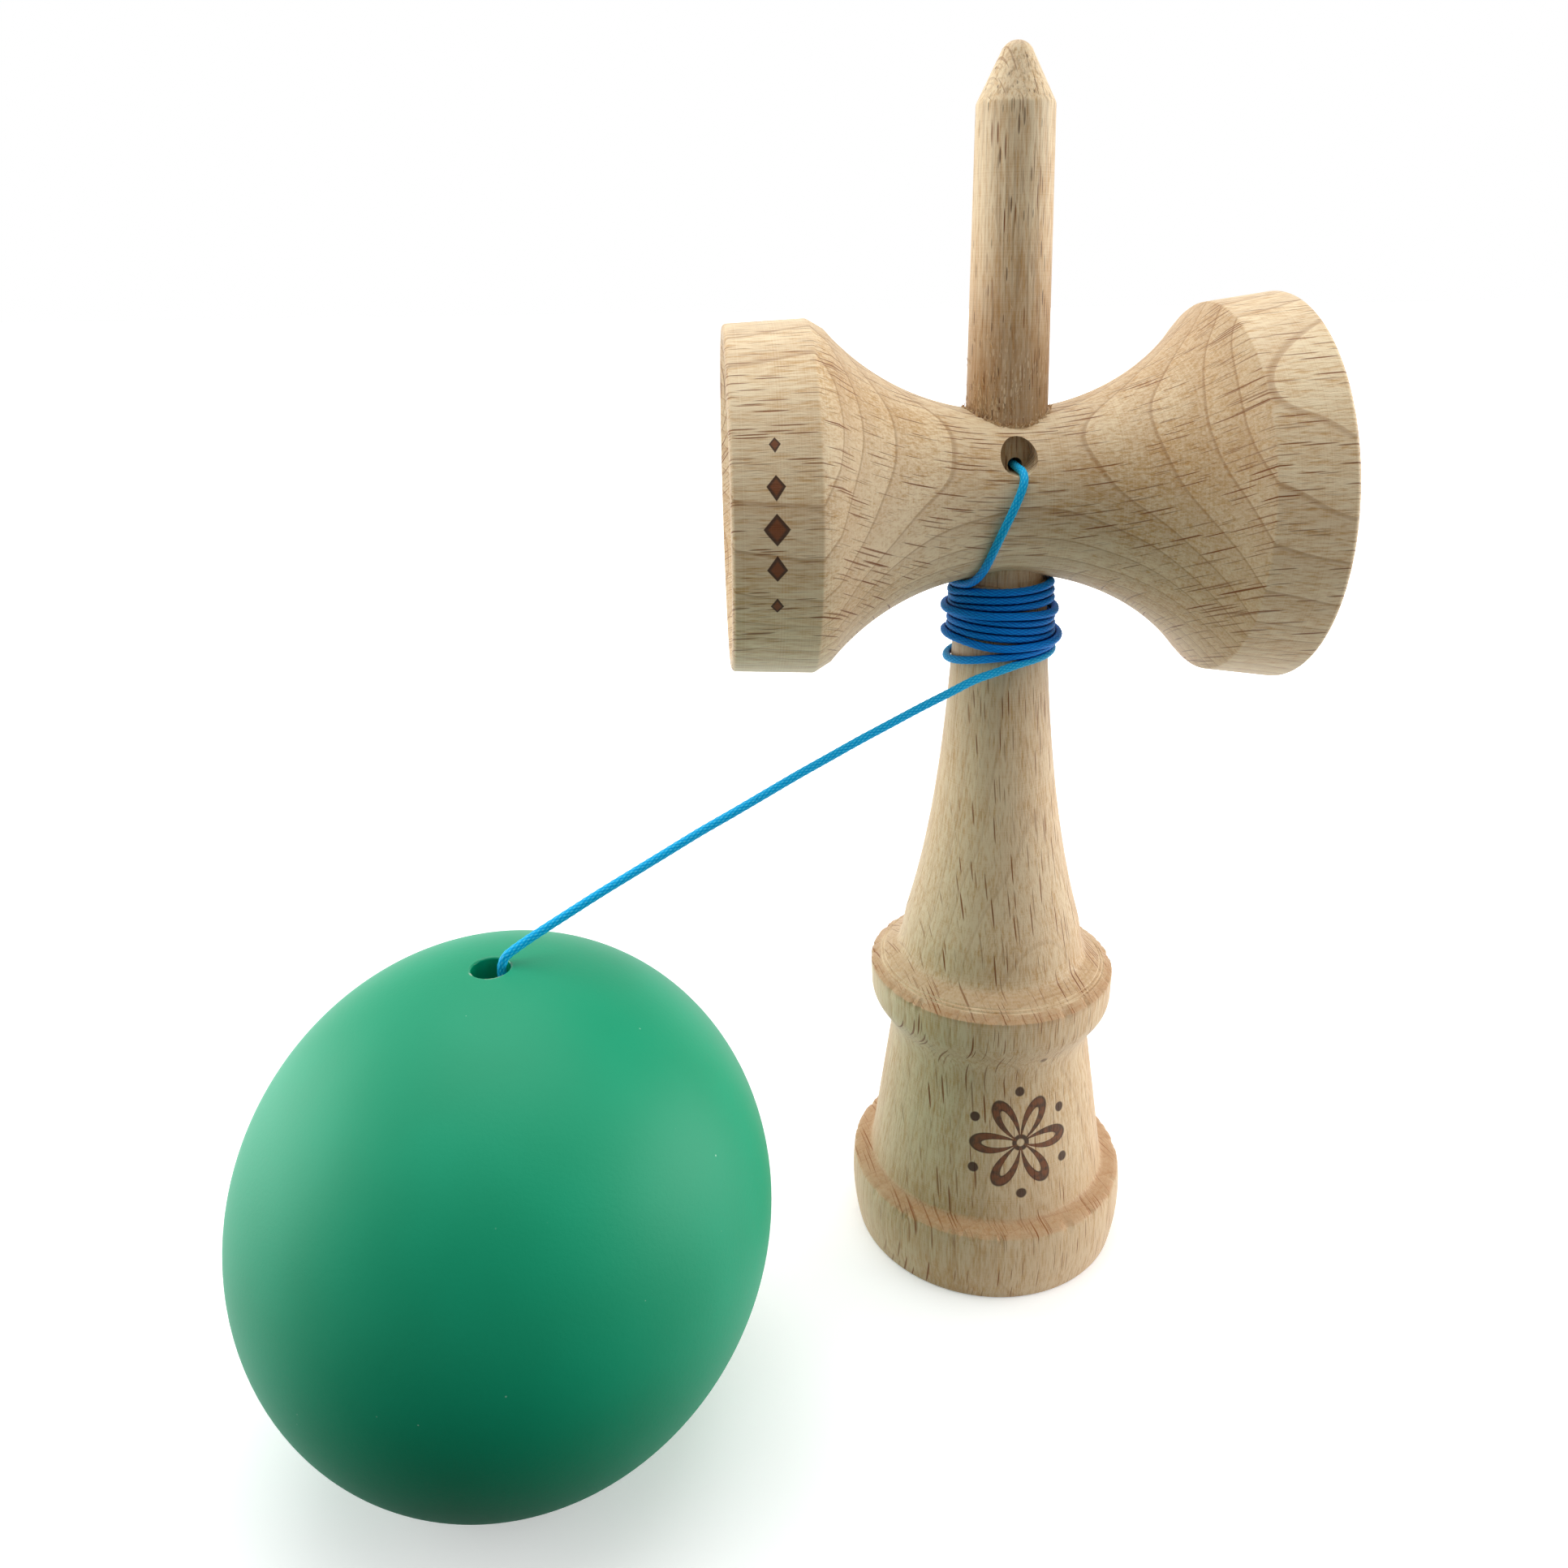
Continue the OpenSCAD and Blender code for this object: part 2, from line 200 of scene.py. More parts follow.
CHAMBER_D, BALL_STRING_D, MOUTH_DEPTH = 9.5, 4.2, 2.4
BALL_X, BALL_Y = -61.9, -28.1
BALL_Z = math.sqrt(BALL_D**2 - BALL_MOUTH_D**2) / 2
CHAMBER_TOP = BALL_Z + 22.5
BEAD_D, BEAD_LEN, BEAD_HOLE_D = 8.6, 6.5, 1.4
BEAD_TOP = CHAMBER_TOP - 0.3
CORD_D = 1

BODY_FOOT_Z, BODY_TOP_Z = BASE_RING_H + 1.2, SLIP_H - 10.4
SHOULDER_D, SHOULDER_Z = SLIP_D - 6.6, SLIP_H + 2
HANDLE_FOOT_Z, NECK_Z = SLIP_H + 7.4, CROSS_Z - WAIST_D / 2 - 0.8
SPIKE_Z, POINT_Z = CROSS_Z + WAIST_D / 2, KEN_H - POINT_LEN
HANDLE_DROP = math.log((HANDLE_FOOT_D - HANDLE_LIMIT_D) / (NECK_D - HANDLE_LIMIT_D))
HANDLE_FALL = (NECK_Z - HANDLE_FOOT_Z) / HANDLE_DROP
SPIKE_TAPER = (SPIKE_D - SPIKE_END_D) / 2 / (POINT_Z - SPIKE_Z)


def handle_r(z):
    """Radius of the handle at a height."""
    drop = np.exp((HANDLE_FOOT_Z - z) / HANDLE_FALL)
    return HANDLE_LIMIT_D / 2 + (HANDLE_FOOT_D - HANDLE_LIMIT_D) / 2 * drop


def flare_radius(x):
    """Radius of the crosspiece near its waist, at a distance from the ken's axis."""
    return WAIST_D / 2 + FLARE_R - np.sqrt(FLARE_R**2 - np.minimum(np.abs(x), 0.9 * FLARE_R) ** 2)


print("neck radius", round(float(handle_r(NECK_Z)), 2), "mm at", round(NECK_Z, 1))

# %% [markdown]
# ## The cord's route
# One braided cord runs from a knot in the shaft, out of the crosspiece, round the neck, across to the
# ball and down to a knot under a bead. Its free stretches go through listed places. The winding
# is worked out turn by turn: each pass has a height at the left, back, right and front of the neck, and
# the loop joins them into one line.

# %% Lead, winding, span and tail
LEAD_ROUTE = [
    (0, 1.4, 108.4), (0, -1.5, 108.1), (0, -4.4, 107.95), (0, -6.6, 107.85), (0, -8.2, 107.8),
    (-0.05, -9.2, 107.65), (-0.1, -9.95, 107.15), (-0.3, -10.4, 106.4), (-0.8, -10.65, 105.1),
    (-1.5, -10.75, 103.5), (-2.2, -10.65, 101.9), (-2.8, -10.3, 100.3), (-3.4, -9.6, 98.5),
    (-3.9, -7.9, 96), (-4.3, -6.5, 94.6), (-4.8, -5.4, 93.6), (-5.4, -3.9, 92.9),
]
SWING_PIVOT, LIFT_PIVOT, TILT_PIVOT = (0.1, -7, 83.4), (-5.1, -8.8, 82.4), (-59.1, -27.2, 59.9)
SPAN_ROUTE = [
    SWING_PIVOT, (-2.5, -7.9, 82.9), LIFT_PIVOT, (-8.4, -10, 81.3), (-12.2, -11.3, 80),
    (-16, -12.6, 78.6), (-19.8, -13.9, 77.2), (-23.6, -15.2, 75.7), (-27.4, -16.5, 74.2),
    (-31.2, -17.8, 72.6), (-35, -19.1, 71), (-38.8, -20.3, 69.4), (-42.6, -21.6, 67.7),
    (-46.4, -22.9, 66), (-50.2, -24.2, 64.3), (-53.9, -25.4, 62.5), (-56.8, -26.4, 61.1), TILT_PIVOT,
]
TAIL_ROUTE = [
    (-60.3, -27.6, 59.1), (-60.6, -27.7, 58.5), (-60.8, -27.7, 57.8), (-60.8, -27.7, 56.6),
    (-61, -27.8, 54.9), (-61.5, -28, 53.1), (-61.9, -28.1, 51.4), (-61.9, -28.1, 48), (-61.9, -28.1, 43.6),
]
# Height of each pass at the back, right, front right, front, front left and left,
# and how far it stands off the wood
PASSES = [
    (92.5, 92.8, 92.7, 92.5, 92.1, 91.7, 0.0), (91.7, 91.9, 91.8, 91.5, 91.2, 91.0, 0.0),
    (90.9, 90.9, 90.8, 90.6, 90.3, 90.1, 0.05), (89.9, 88.9, 89.3, 89.75, 89.7, 89.5, 0.6),
    (89.0, 88.0, 87.7, 88.65, 88.8, 88.6, 0.1), (88.1, 87.2, 87.0, 87.75, 87.9, 87.8, 0.0),
    (87.2, 86.5, 86.4, 86.75, 87.1, 87.3, 0.0), (86.5, 86.1, 85.6, 85.25, 85.8, 86.8, 0.5),
    (85.6, 85.3, 85.1, 84.75, 83.7, 82.4, 0.3),
]
LAST_PASS = (83.0, 83.9, 84.3)
EXIT_Z = 83.9
AIR = 0.08
EXIT_R = handle_r(EXIT_Z) + AIR + CORD_D / 2
EXIT_A = math.degrees(math.atan2(BALL_Y, BALL_X) + math.acos(EXIT_R / math.hypot(BALL_X, BALL_Y)))
STEP, TURN_STEP, MEAN_OF = 0.5, 9, 7


def winding():
    """The wound stretch, from the left of the neck down to where the cord leaves it."""
    knots = [(-180, 92.4, 0.0)]
    for turn_no, (*heights, off) in enumerate(PASSES):
        for angle, z in zip((-270, -360, -405, -450, -495, -540), heights):
            knots.append((angle - 360 * turn_no, z, off))
    for angle, z in zip((-270, -360, -400), LAST_PASS):
        knots.append((angle - 360 * len(PASSES), z, 0.0))
    knots.append((EXIT_A - 360 * (len(PASSES) + 1), EXIT_Z, 0.0))
    angle, z, off = (np.array(c, float) for c in zip(*knots))
    steps = np.append(np.arange(angle[0], angle[-1], -TURN_STEP), angle[-1])
    height, stand_off = np.interp(-steps, -angle, z), np.interp(-steps, -angle, off)
    # A running mean takes the corners out of the heights
    half = MEAN_OF // 2
    for values in (height, stand_off):
        values[half:-half] = np.convolve(values, np.ones(MEAN_OF) / MEAN_OF, mode="valid")
    r = handle_r(height) + AIR + CORD_D / 2 + stand_off
    a = np.radians(steps)
    return np.stack([r * np.cos(a), r * np.sin(a), height], 1)


wound = winding()
route = smooth_line([*LEAD_ROUTE, *wound, *SPAN_ROUTE, *TAIL_ROUTE], STEP)
print("cord as first drawn:", round(length_along(route)[-1], 1), "mm")

# %% [markdown]
# ## Settling the winding
# Turns drawn from a table cut into each other a little. A rigid-body simulation would be heavy for one
# thin cord, so a short loop does what the hand does: turns that overlap push each other apart, nothing
# goes into the wood, and the line is kept smooth. It gives the same result every time.

# %% Push the turns apart
PUSH, EASE = 0.25, 0.05
OFF_NECK, OFF_CROSS, WOUND_LOW = 0.02, 0.05, 80
WINDS_FROM = LEAD_ROUTE[-6]


def settle(line, first, last, rounds=120):
    """The line with its wound stretch pushed clear of itself, the neck and the crosspiece."""
    p = line.copy()
    free = np.arange(first, last)
    near = int(4 * CORD_D / STEP)
    apart = np.abs(free[:, None] - free[None, :]) > near
    for _ in range(rounds):
        q = p[free]
        gap = q[:, None] - q[None, :]
        far = np.linalg.norm(gap, axis=2) + 1e-9
        press = np.where(apart & (far < CORD_D), (CORD_D - far) / far, 0)
        p[free] = q + PUSH * (gap * press[:, :, None]).sum(1)
        p[free] += EASE * (p[free - 1] + p[free + 1] - 2 * p[free])
        out = np.hypot(p[:, 0], p[:, 1])
        want = handle_r(p[:, 2]) + CORD_D / 2 + OFF_NECK
        on_neck = (p[:, 2] < NECK_Z + 1) & (p[:, 2] > WOUND_LOW)
        grow = np.where((out < want) & on_neck, want / out, 1)
        p[free, :2] *= grow[free, None]
        cross = p[:, 2] - CROSS_Z
        away = np.hypot(p[:, 1], cross)
        want = flare_radius(p[:, 0]) + CORD_D / 2 + OFF_CROSS
        grow = np.where((away < want) & (p[:, 2] < CROSS_Z), want / away, 1)
        p[free, 1] *= grow[free]
        p[free, 2] = CROSS_Z + (p[free, 2] - CROSS_Z) * grow[free]
    return p


route = settle(route, nearest(route, WINDS_FROM), nearest(route, SWING_PIVOT))
route = smooth_line(route, STEP)
cord_length = length_along(route)[-1]
print("cord settled:", round(cord_length, 1), "mm, with", len(PASSES), "passes at the front")

# %% [markdown]
# ## The braid
# The cord is a round braid of sixteen strands: eight run one way round and eight the other, each going
# over one and under the next. A bump texture would fade at the edges, so the relief is real: each ring
# of the tube is pushed out where a strand lies on top. The height is kept on the mesh for the material.

# %% Sweep the braid along the route
SIDES, RINGS_PER_MM = 32, 8
STRANDS, STITCH, RELIEF, PROUD = 8, 0.9, 0.055, 1.3
PROBE, FEEL, TIGHT = 1.5, 0.85, 0.3
SHADED = 0.55


def braid_height(around, distance):
    """How proud the braid stands at an angle and a distance along, 0 to 1."""
    a = STRANDS * around / (2 * math.pi) + distance / STITCH
    b = STRANDS * around / (2 * math.pi) - distance / STITCH
    over = (np.floor(a) + np.floor(b)) % 2
    across = np.where(over > 0.5, a % 1, b % 1)
    lengthwise = np.where(over > 0.5, b % 1, a % 1)
    return np.sin(np.pi * across) ** 0.6 * (0.55 + 0.45 * np.sin(np.pi * lengthwise))


def sweep_rings(line):
    """Rings of the braided tube along a line: points, heights, and the distance of each ring."""
    distance = length_along(line)
    count = int(distance[-1] * RINGS_PER_MM)
    even = np.linspace(0, distance[-1], count + 1)
    centre = np.stack([np.interp(even, distance, line[:, k]) for k in range(3)], 1)
    kernel = np.ones(5) / 5
    for k in range(3):
        centre[2:-2, k] = np.convolve(centre[:, k], kernel, mode="valid")
    way = np.gradient(centre, axis=0)
    way /= np.linalg.norm(way, axis=1)[:, None]
    side = np.zeros_like(way)
    side[0] = np.cross(way[0], (1, 0, 0))
    for i in range(1, len(way)):
        # The ring's own direction is carried along without twist
        side[i] = side[i - 1] - way[i] * (side[i - 1] @ way[i])
        side[i] /= np.linalg.norm(side[i])
    other = np.cross(way, side)
    around = np.linspace(0, 2 * math.pi, SIDES, endpoint=False)
    high = braid_height(around[None, :], even[:, None])
    radius = CORD_D / 2 - RELIEF + RELIEF * high * PROUD
    spoke = np.cos(around)[None, :, None] * side[:, None] + np.sin(around)[None, :, None] * other[:, None]
    return centre, centre[:, None] + radius[:, :, None] * spoke, high, even


def tube_piece(name, rings, high, light=None):
    """A closed tube from a stretch of rings, with the braid's height and its openness on its points."""
    count = len(rings)
    points = rings.reshape(-1, 3) * MM
    row = np.arange(count - 1)[:, None] * SIDES
    k = np.arange(SIDES)[None, :]
    n = (k + 1) % SIDES
    walls = np.stack([row + k, row + n, row + SIDES + n, row + SIDES + k], 2).reshape(-1, 4)
    faces = [tuple(f) for f in walls.tolist()]
    faces.append(tuple(range(SIDES - 1, -1, -1)))
    faces.append(tuple((count - 1) * SIDES + i for i in range(SIDES)))
    mesh = bpy.data.meshes.new(name)
    mesh.from_pydata(points.tolist(), [], faces)
    mesh.polygons.foreach_set("use_smooth", [True] * len(faces))
    light = np.ones(high.shape) if light is None else light
    for word, values in (("relief", high), ("openness", light)):
        layer = mesh.attributes.new(word, "FLOAT", "POINT")
        layer.data.foreach_set("value", values.reshape(-1).astype(np.float32))
    piece = bpy.data.objects.new(name, mesh)
    bpy.context.scene.collection.objects.link(piece)
    return piece


def openness(first, last):
    """How open each point of the wound turns is, 0 where turns or wood touch it and 1 outside; the cord's
    material paints shade from it.
    """
    tree = kdtree.KDTree(last - first)
    for i in range(first, last):
        tree.insert(centre[i], i)
    tree.balance()
    light = np.ones(high.shape)
    for i in range(first, last, 2):
        for k in range(0, SIDES, 2):
            probe = centre[i] + (rings[i, k] - centre[i]) * PROBE
            near = [d for _, j, d in tree.find_range(probe, FEEL) if abs(j - i) > 5 * RINGS_PER_MM]
            wood = math.hypot(probe[0], probe[1]) - handle_r(probe[2])
            free = min((min([*near, FEEL]) - TIGHT) / (FEEL - TIGHT), (wood + 0.1) / 0.5)
            light[i:i + 2, k:k + 2] = max(0, min(1, free))
    return light


centre, rings, high, even = sweep_rings(route)
at_wind, at_swing, at_lift, at_tilt = (
    nearest(centre, place) for place in (WINDS_FROM, SWING_PIVOT, LIFT_PIVOT, TILT_PIVOT)
)
light = openness(at_wind, at_swing)
# Painted shade: the imported turns are darkened even on their open side, for the crosspiece's shadow over
# them
shade_from, shade_to = even[at_wind], even[at_swing]
shade_at = [shade_from - 1, shade_from + 8, shade_to - 45, shade_to - 20]
light *= np.interp(even, shade_at, [1, SHADED, SHADED, 1])[:, None]
print("braid:", len(rings), "rings of", SIDES)

# %% [markdown]
# ## Four stretches of one cord
# When the ball is moved the cord flexes at three places: twice where it leaves the winding and once at
# the ball. A mesh can bend between two bodies only, so the tube is cut where it is straight, and each
# stretch holds one of those places. The cut faces meet exactly, and the braid runs on across them.

FLEX = 1.7
before_swing = at_swing - 2 * RINGS_PER_MM
cuts = [0, before_swing, (at_swing + at_lift) // 2, (at_lift + at_tilt) // 2, len(rings) - 1]
names = ["cord_wound", "cord_turn", "cord_reach", "cord_drop"]
cords = {}
for name, first, last in zip(names, cuts[:-1], cuts[1:]):
    stretch = slice(first, last + 1)
    cords[name] = tube_piece(name, rings[stretch], high[stretch], light[stretch])
    print(name, round(even[last] - even[first], 1), "mm")


def flex(piece, ring):
    """Bakes a stretch of cord's place into its mesh; the centre points either side of the ring are read
    but not used.
    """
    reach = int(FLEX * RINGS_PER_MM)
    last = min(ring + reach, len(centre) - 1)
    centre[ring - reach] * MM
    centre[last] * MM
    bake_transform(piece)


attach(cords["cord_wound"], "ken")
flex(cords["cord_turn"], at_swing)
flex(cords["cord_reach"], at_lift)
flex(cords["cord_drop"], at_tilt)
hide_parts("cord_lead", "cord_winding")
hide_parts("cord_bend")
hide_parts("cord_span")
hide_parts("cord_tail")

# %% [markdown]
# ## The lathe
# The ken, the crosspiece, the ball and the bead were all turned, so one helper spins an outline of
# radius and distance into a closed mesh. Blender's Screw modifier does the same for a drawn edge;
# a function keeps the outline readable as numbers and joins the poles without a pinch.

# %% Spin an outline and cut holes
ON_AXIS = 1e-4


def new_piece(name, points, faces):
    """A mesh object with its normals facing out."""
    mesh = bpy.data.meshes.new(name)
    mesh.from_pydata([tuple(p) for p in points], [], faces)
    work = bmesh.new()
    work.from_mesh(mesh)
    bmesh.ops.recalc_face_normals(work, faces=work.faces)
    work.to_mesh(mesh)
    work.free()
    piece = bpy.data.objects.new(name, mesh)
    bpy.context.scene.collection.objects.link(piece)
    return piece


def lathe(name, outline, axis="Z", place=(0, 0, 0), segments=176, closed=False):
    """A turned solid from (radius, distance) points; a closed outline makes a ring."""
    spin = np.linspace(0, 2 * math.pi, segments, endpoint=False)
    points, rows = [], []
    for r, h in outline:
        rows.append((len(points), r > ON_AXIS))
        for t in spin if r > ON_AXIS else spin[:1]:
            ring = (r * math.cos(t), r * math.sin(t), h)
            if axis == "X":
                ring = (h, r * math.cos(t), r * math.sin(t))
            points.append((np.array(ring) + np.array(place)) * MM)
    faces = []
    pairs = list(zip(rows[:-1], rows[1:]))
    if closed:
        pairs.append((rows[-1], rows[0]))
    for (a, wide_a), (b, wide_b) in pairs:
        for k in range(segments):
            n = (k + 1) % segments
            if wide_a and wide_b:
                faces.append((a + k, a + n, b + n, b + k))
            elif wide_a:
                faces.append((a + k, a + n, b))
            elif wide_b:
                faces.append((a, b + n, b + k))
    return new_piece(name, points, faces)


def bored(piece, *cutters):
    """The piece with each cutter taken away from it."""
    for cutter in cutters:
        cut = piece.modifiers.new("bore", "BOOLEAN")
        cut.operation, cut.solver, cut.object = "DIFFERENCE", "EXACT", cutter
    bpy.context.view_layer.update()
    mesh = bpy.data.meshes.new_from_object(piece.evaluated_get(bpy.context.evaluated_depsgraph_get()))
    piece.modifiers.clear()
    old = piece.data
    piece.data = mesh
    mesh.name = piece.name
    bpy.data.meshes.remove(old)
    for cutter in cutters:
        bpy.data.meshes.remove(cutter.data)
    return piece


def finish_shading(piece, angle=32):
    """Smooth shading that keeps real edges crisp."""
    piece.data.polygons.foreach_set("use_smooth", [True] * len(piece.data.polygons))
    piece.data.set_sharp_from_angle(angle=math.radians(angle))
    print(piece.name, len(piece.data.vertices), "points")
    return piece


def dish(rim_r, count=36):
    """A hollow of the cups' radius, from its centre out to its rim: radius and depth."""
    radii = np.linspace(0, rim_r, count + 1)
    return [(r, math.sqrt(DISH_R**2 - r**2) - math.sqrt(DISH_R**2 - rim_r**2)) for r in radii]


print("a cup", BIG_CUP_D, "mm wide is", round(dish(BIG_CUP_D / 2)[0][1], 1), "mm deep")

# %% [markdown]
# ## The ken
# One turned beech stick: a base cup underneath, a barrel-shaped base ring, a body that thins towards
# the slip ring, a handle that thins towards the crosspiece, and the spike. Two fine lines are scribed
# on the shoulder above the slip ring, where the turner's point touched the wood.

# %% Draw the ken's outline
def scribed(a, b, shares, deep=0.1, wide=0.34):
    """A straight stretch of outline with fine grooves cut in it."""
    a, b = np.array(a, float), np.array(b, float)
    run = np.linalg.norm(b - a)
    inward = np.array([b[1] - a[1], a[0] - b[0]]) / run
    inward *= -1 if inward[0] > 0 else 1
    line = [a]
    for share in shares:
        for k, depth in ((-0.5, 0), (-0.15, deep), (0.15, deep), (0.5, 0)):
            line.append(a + (b - a) * (share + k * wide / run) + inward * depth)
    return [tuple(p) for p in line + [b]]


BARREL_R, BARREL_Z, BARREL_RISE = 26, 6.5, 3
RING_SLOPE, RING_FILLET = (17.9, 9.85), (16, 10.4)
base_dish = dish(BASE_D / 2 - 1 - BASE_LAND)
barrel_c = (BASE_D / 2 - BARREL_R, BARREL_Z)
barrel_low, barrel_high = (math.degrees(math.asin(z / BARREL_R)) for z in (-6.1, 2.6))
barrel = arc(barrel_c, BARREL_R, barrel_low, barrel_high, 12)
foot = (barrel_c[0] + math.sqrt(BARREL_R**2 - BARREL_Z**2), 0)
rim_top = (barrel_c[0] + math.sqrt(BARREL_R**2 - BARREL_RISE**2), BARREL_Z + BARREL_RISE)
slip_low = (SLIP_D / 2 - 0.1, SLIP_H - SLIP_SIDE)
slip_edge = (SLIP_D / 2, SLIP_H - 0.15)
shoulder = (SHOULDER_D / 2, SHOULDER_Z)
handle_foot = (HANDLE_FOOT_D / 2, HANDLE_FOOT_Z)
shaft_low_r = SPIKE_D / 2 + SPIKE_TAPER * (SPIKE_Z - NECK_Z)
waist_curve = bend([
    (BODY_TOP_D / 2, BODY_TOP_Z), (BODY_TOP_D / 2 + 0.1, BODY_TOP_Z + 4.2),
    (slip_low[0], slip_low[1] - 3.2), slip_low,
])
point_side = (SPIKE_END_D / 2, POINT_Z)
nose = arc((0, KEN_H - NOSE_R), NOSE_R, 25.6, 90, 10)
ken_outline = [
    *base_dish[:-1],
    *soft_corner(base_dish[-2], base_dish[-1], foot, 0.25),
    *soft_corner(base_dish[-1], foot, barrel[0], 0.35),
    *barrel,
    *soft_corner(barrel[-1], rim_top, RING_SLOPE, 0.35),
    *soft_corner(rim_top, RING_SLOPE, (16.4, 10.3), 0.4),
    *soft_corner(RING_SLOPE, RING_FILLET, (BODY_FOOT_D / 2 - 0.1, BODY_FOOT_Z + 2), 0.9),
    *waist_curve,
    *soft_corner(slip_low, slip_edge, (15.9, SLIP_H + 0.05), 0.16),
    *scribed((15.85, SLIP_H + 0.09), shoulder, (0.3, 0.44)),
    *bend([shoulder, (shoulder[0] - 1, shoulder[1] + 0.6), (handle_foot[0] + 0.66, 44.6), handle_foot]),
    *[(float(handle_r(z)), z) for z in np.linspace(HANDLE_FOOT_Z, NECK_Z, 60)[1:]],
    (shaft_low_r, NECK_Z),
    *soft_corner((shaft_low_r, NECK_Z), point_side, nose[0], 1.2),
    *nose[:-1],
    (0, KEN_H),
]
print("ken's outline:", len(ken_outline), "points")

# %% [markdown]
# ## Chipped edges and the cord's hole
# A gouge that leaves end grain at a sharp edge breaks it in small chips. A bevel would look machined,
# so a few layers of noise push single points of the two rings' edges in. The hole that holds the knot
# is drilled from the front and widened from the back, by taking two turned cutters away.

# %% Turn, chip and drill the ken
def wear(piece, low, high, inside, deep):
    """Breaks a sharp edge in small chips, as turned end grain does."""
    for point in piece.data.vertices:
        x, y, z = point.co / MM
        out = math.hypot(x, y)
        if out > inside and low < z < high:
            way = Vector((x, y, 0)) / out
            chip = noise.noise(way * 9) + 0.8 * noise.noise(way * 31) + 0.6 * noise.noise(way * 67)
            point.co.xy *= 1 - deep / out * max(0, chip)
            point.co.z -= deep * 0.5 * max(0, chip) * MM


CORD_HOLE_R, KNOT_HOLE_R, DRILLED = 0.9, 1.9, 9


def drill(name, radius, depth):
    """A round cutter from a depth to outside the shaft."""
    return lathe(name, [(0, depth), (radius, depth), (radius, DRILLED), (0, DRILLED)], segments=32)


ken = lathe("ken_turned", finely(ken_outline, 1.2), segments=288)
wear(ken, SLIP_H - 0.5, SLIP_H + 0.3, 15.5, 0.3)
wear(ken, 9.0, 10.1, 17.3, 0.25)
hole_front = drill("hole_front", CORD_HOLE_R, -3)
hole_back = drill("hole_back", KNOT_HOLE_R, 1.15)
for tool, angle, z in ((hole_front, 90, STRING_HOLE_Z - 2), (hole_back, -90, STRING_HOLE_Z - 1)):
    tool.data.transform(Matrix.Rotation(math.radians(angle), 4, "X"))
    tool.data.transform(Matrix.Translation((0, 0, z * MM)))
ken = finish_shading(bored(ken, hole_front, hole_back))
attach(ken, "ken")
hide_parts("ken")

# %% [markdown]
# ## The crosspiece
# The sarado is turned the other way of the grain: its axis lies along the wood's fibres. It has a cup
# at each end, a hollow flare on both sides of its waist, a tapered bore that jams on the shaft, and a
# small drilled hole for the cord, with a worn edge.

# %% Turn and bore the crosspiece
def corner_x(d):
    """Distance along the crosspiece at which its flare reaches a diameter."""
    return math.sqrt(FLARE_R**2 - (FLARE_R - (d - WAIST_D) / 2) ** 2)


big_x, small_x = corner_x(BIG_CORNER_D), corner_x(SMALL_CORNER_D - 1)
big_dish = dish(BIG_CUP_D / 2 - CUP_LAND)
small_dish = dish(SMALL_CUP_D / 2 - CUP_LAND)
left_rim = (SMALL_CUP_D / 2, -SMALL_REACH)
right_rim = (BIG_CUP_D / 2, BIG_REACH)
left_corner = (SMALL_CORNER_D / 2, -small_x - 1.5)
right_corner = (BIG_CORNER_D / 2 + 0.25, big_x + 0.35)
flare_a = math.degrees(math.asin(small_x / FLARE_R))
flare_b = math.degrees(math.asin(big_x / FLARE_R))
flare = arc((WAIST_D / 2 + FLARE_R, 0), FLARE_R, 180 + flare_a, 180 - flare_b, 60)
left_edge = (small_dish[-1][0], -SMALL_REACH)
right_edge = (big_dish[-1][0], BIG_REACH)
cross_outline = [
    *[(r, -SMALL_REACH + d) for r, d in small_dish[:-1]],
    *soft_corner((small_dish[-2][0], -SMALL_REACH + small_dish[-2][1]), left_edge, left_rim, 0.4),
    *soft_corner(left_edge, left_rim, left_corner, 0.6),
    *soft_corner(left_rim, left_corner, flare[0], 0.9),
    *flare[1:-1],
    *soft_corner(flare[-2], right_corner, right_rim, 0.5),
    *soft_corner(right_corner, right_rim, right_edge, 0.6),
    *soft_corner(right_rim, right_edge, (big_dish[-2][0], BIG_REACH - big_dish[-2][1]), 0.4),
    *[(r, BIG_REACH - d) for r, d in big_dish[:-1][::-1]],
]
sarado = lathe("sarado_turned", finely(cross_outline, 1.2), axis="X", place=(0, 0, CROSS_Z))
slack = 0.04
low_z, high_z = NECK_Z - 4, SPIKE_Z + 4
bore = lathe("bore", [
    (0, low_z), (shaft_low_r + 4 * SPIKE_TAPER + slack, low_z),
    (SPIKE_D / 2 - 4 * SPIKE_TAPER + slack, high_z), (0, high_z),
], segments=128)
string_hole = lathe("string_hole", [
    (0, 2), (2.2, 2), (2.2, 9.2), (2.24, 9.5), (2.35, 9.75), (2.6, 10.1), (3.2, 10.6), (3.2, 14), (0, 14),
], segments=64)
HOLE_LEFT, HOLE_LOWER = 0.4, 0.55
string_hole.data.transform(Matrix.Rotation(math.radians(90), 4, "X"))
string_hole.data.transform(Matrix.Translation((-HOLE_LEFT * MM, 0, (STRING_HOLE_Z - HOLE_LOWER) * MM)))
sarado = finish_shading(bored(sarado, bore, string_hole))
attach(sarado, "ken")
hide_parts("sarado")

# %% [markdown]
# ## Torn fibres at the spike's foot
# The crosspiece was driven down over a tight shaft, and the shaft scraped a ragged collar of fibres out
# of the bore. Hair particles could scatter them; a few hundred small closed slivers are easier to aim,
# most of them at the front left, where the wood tore worst.

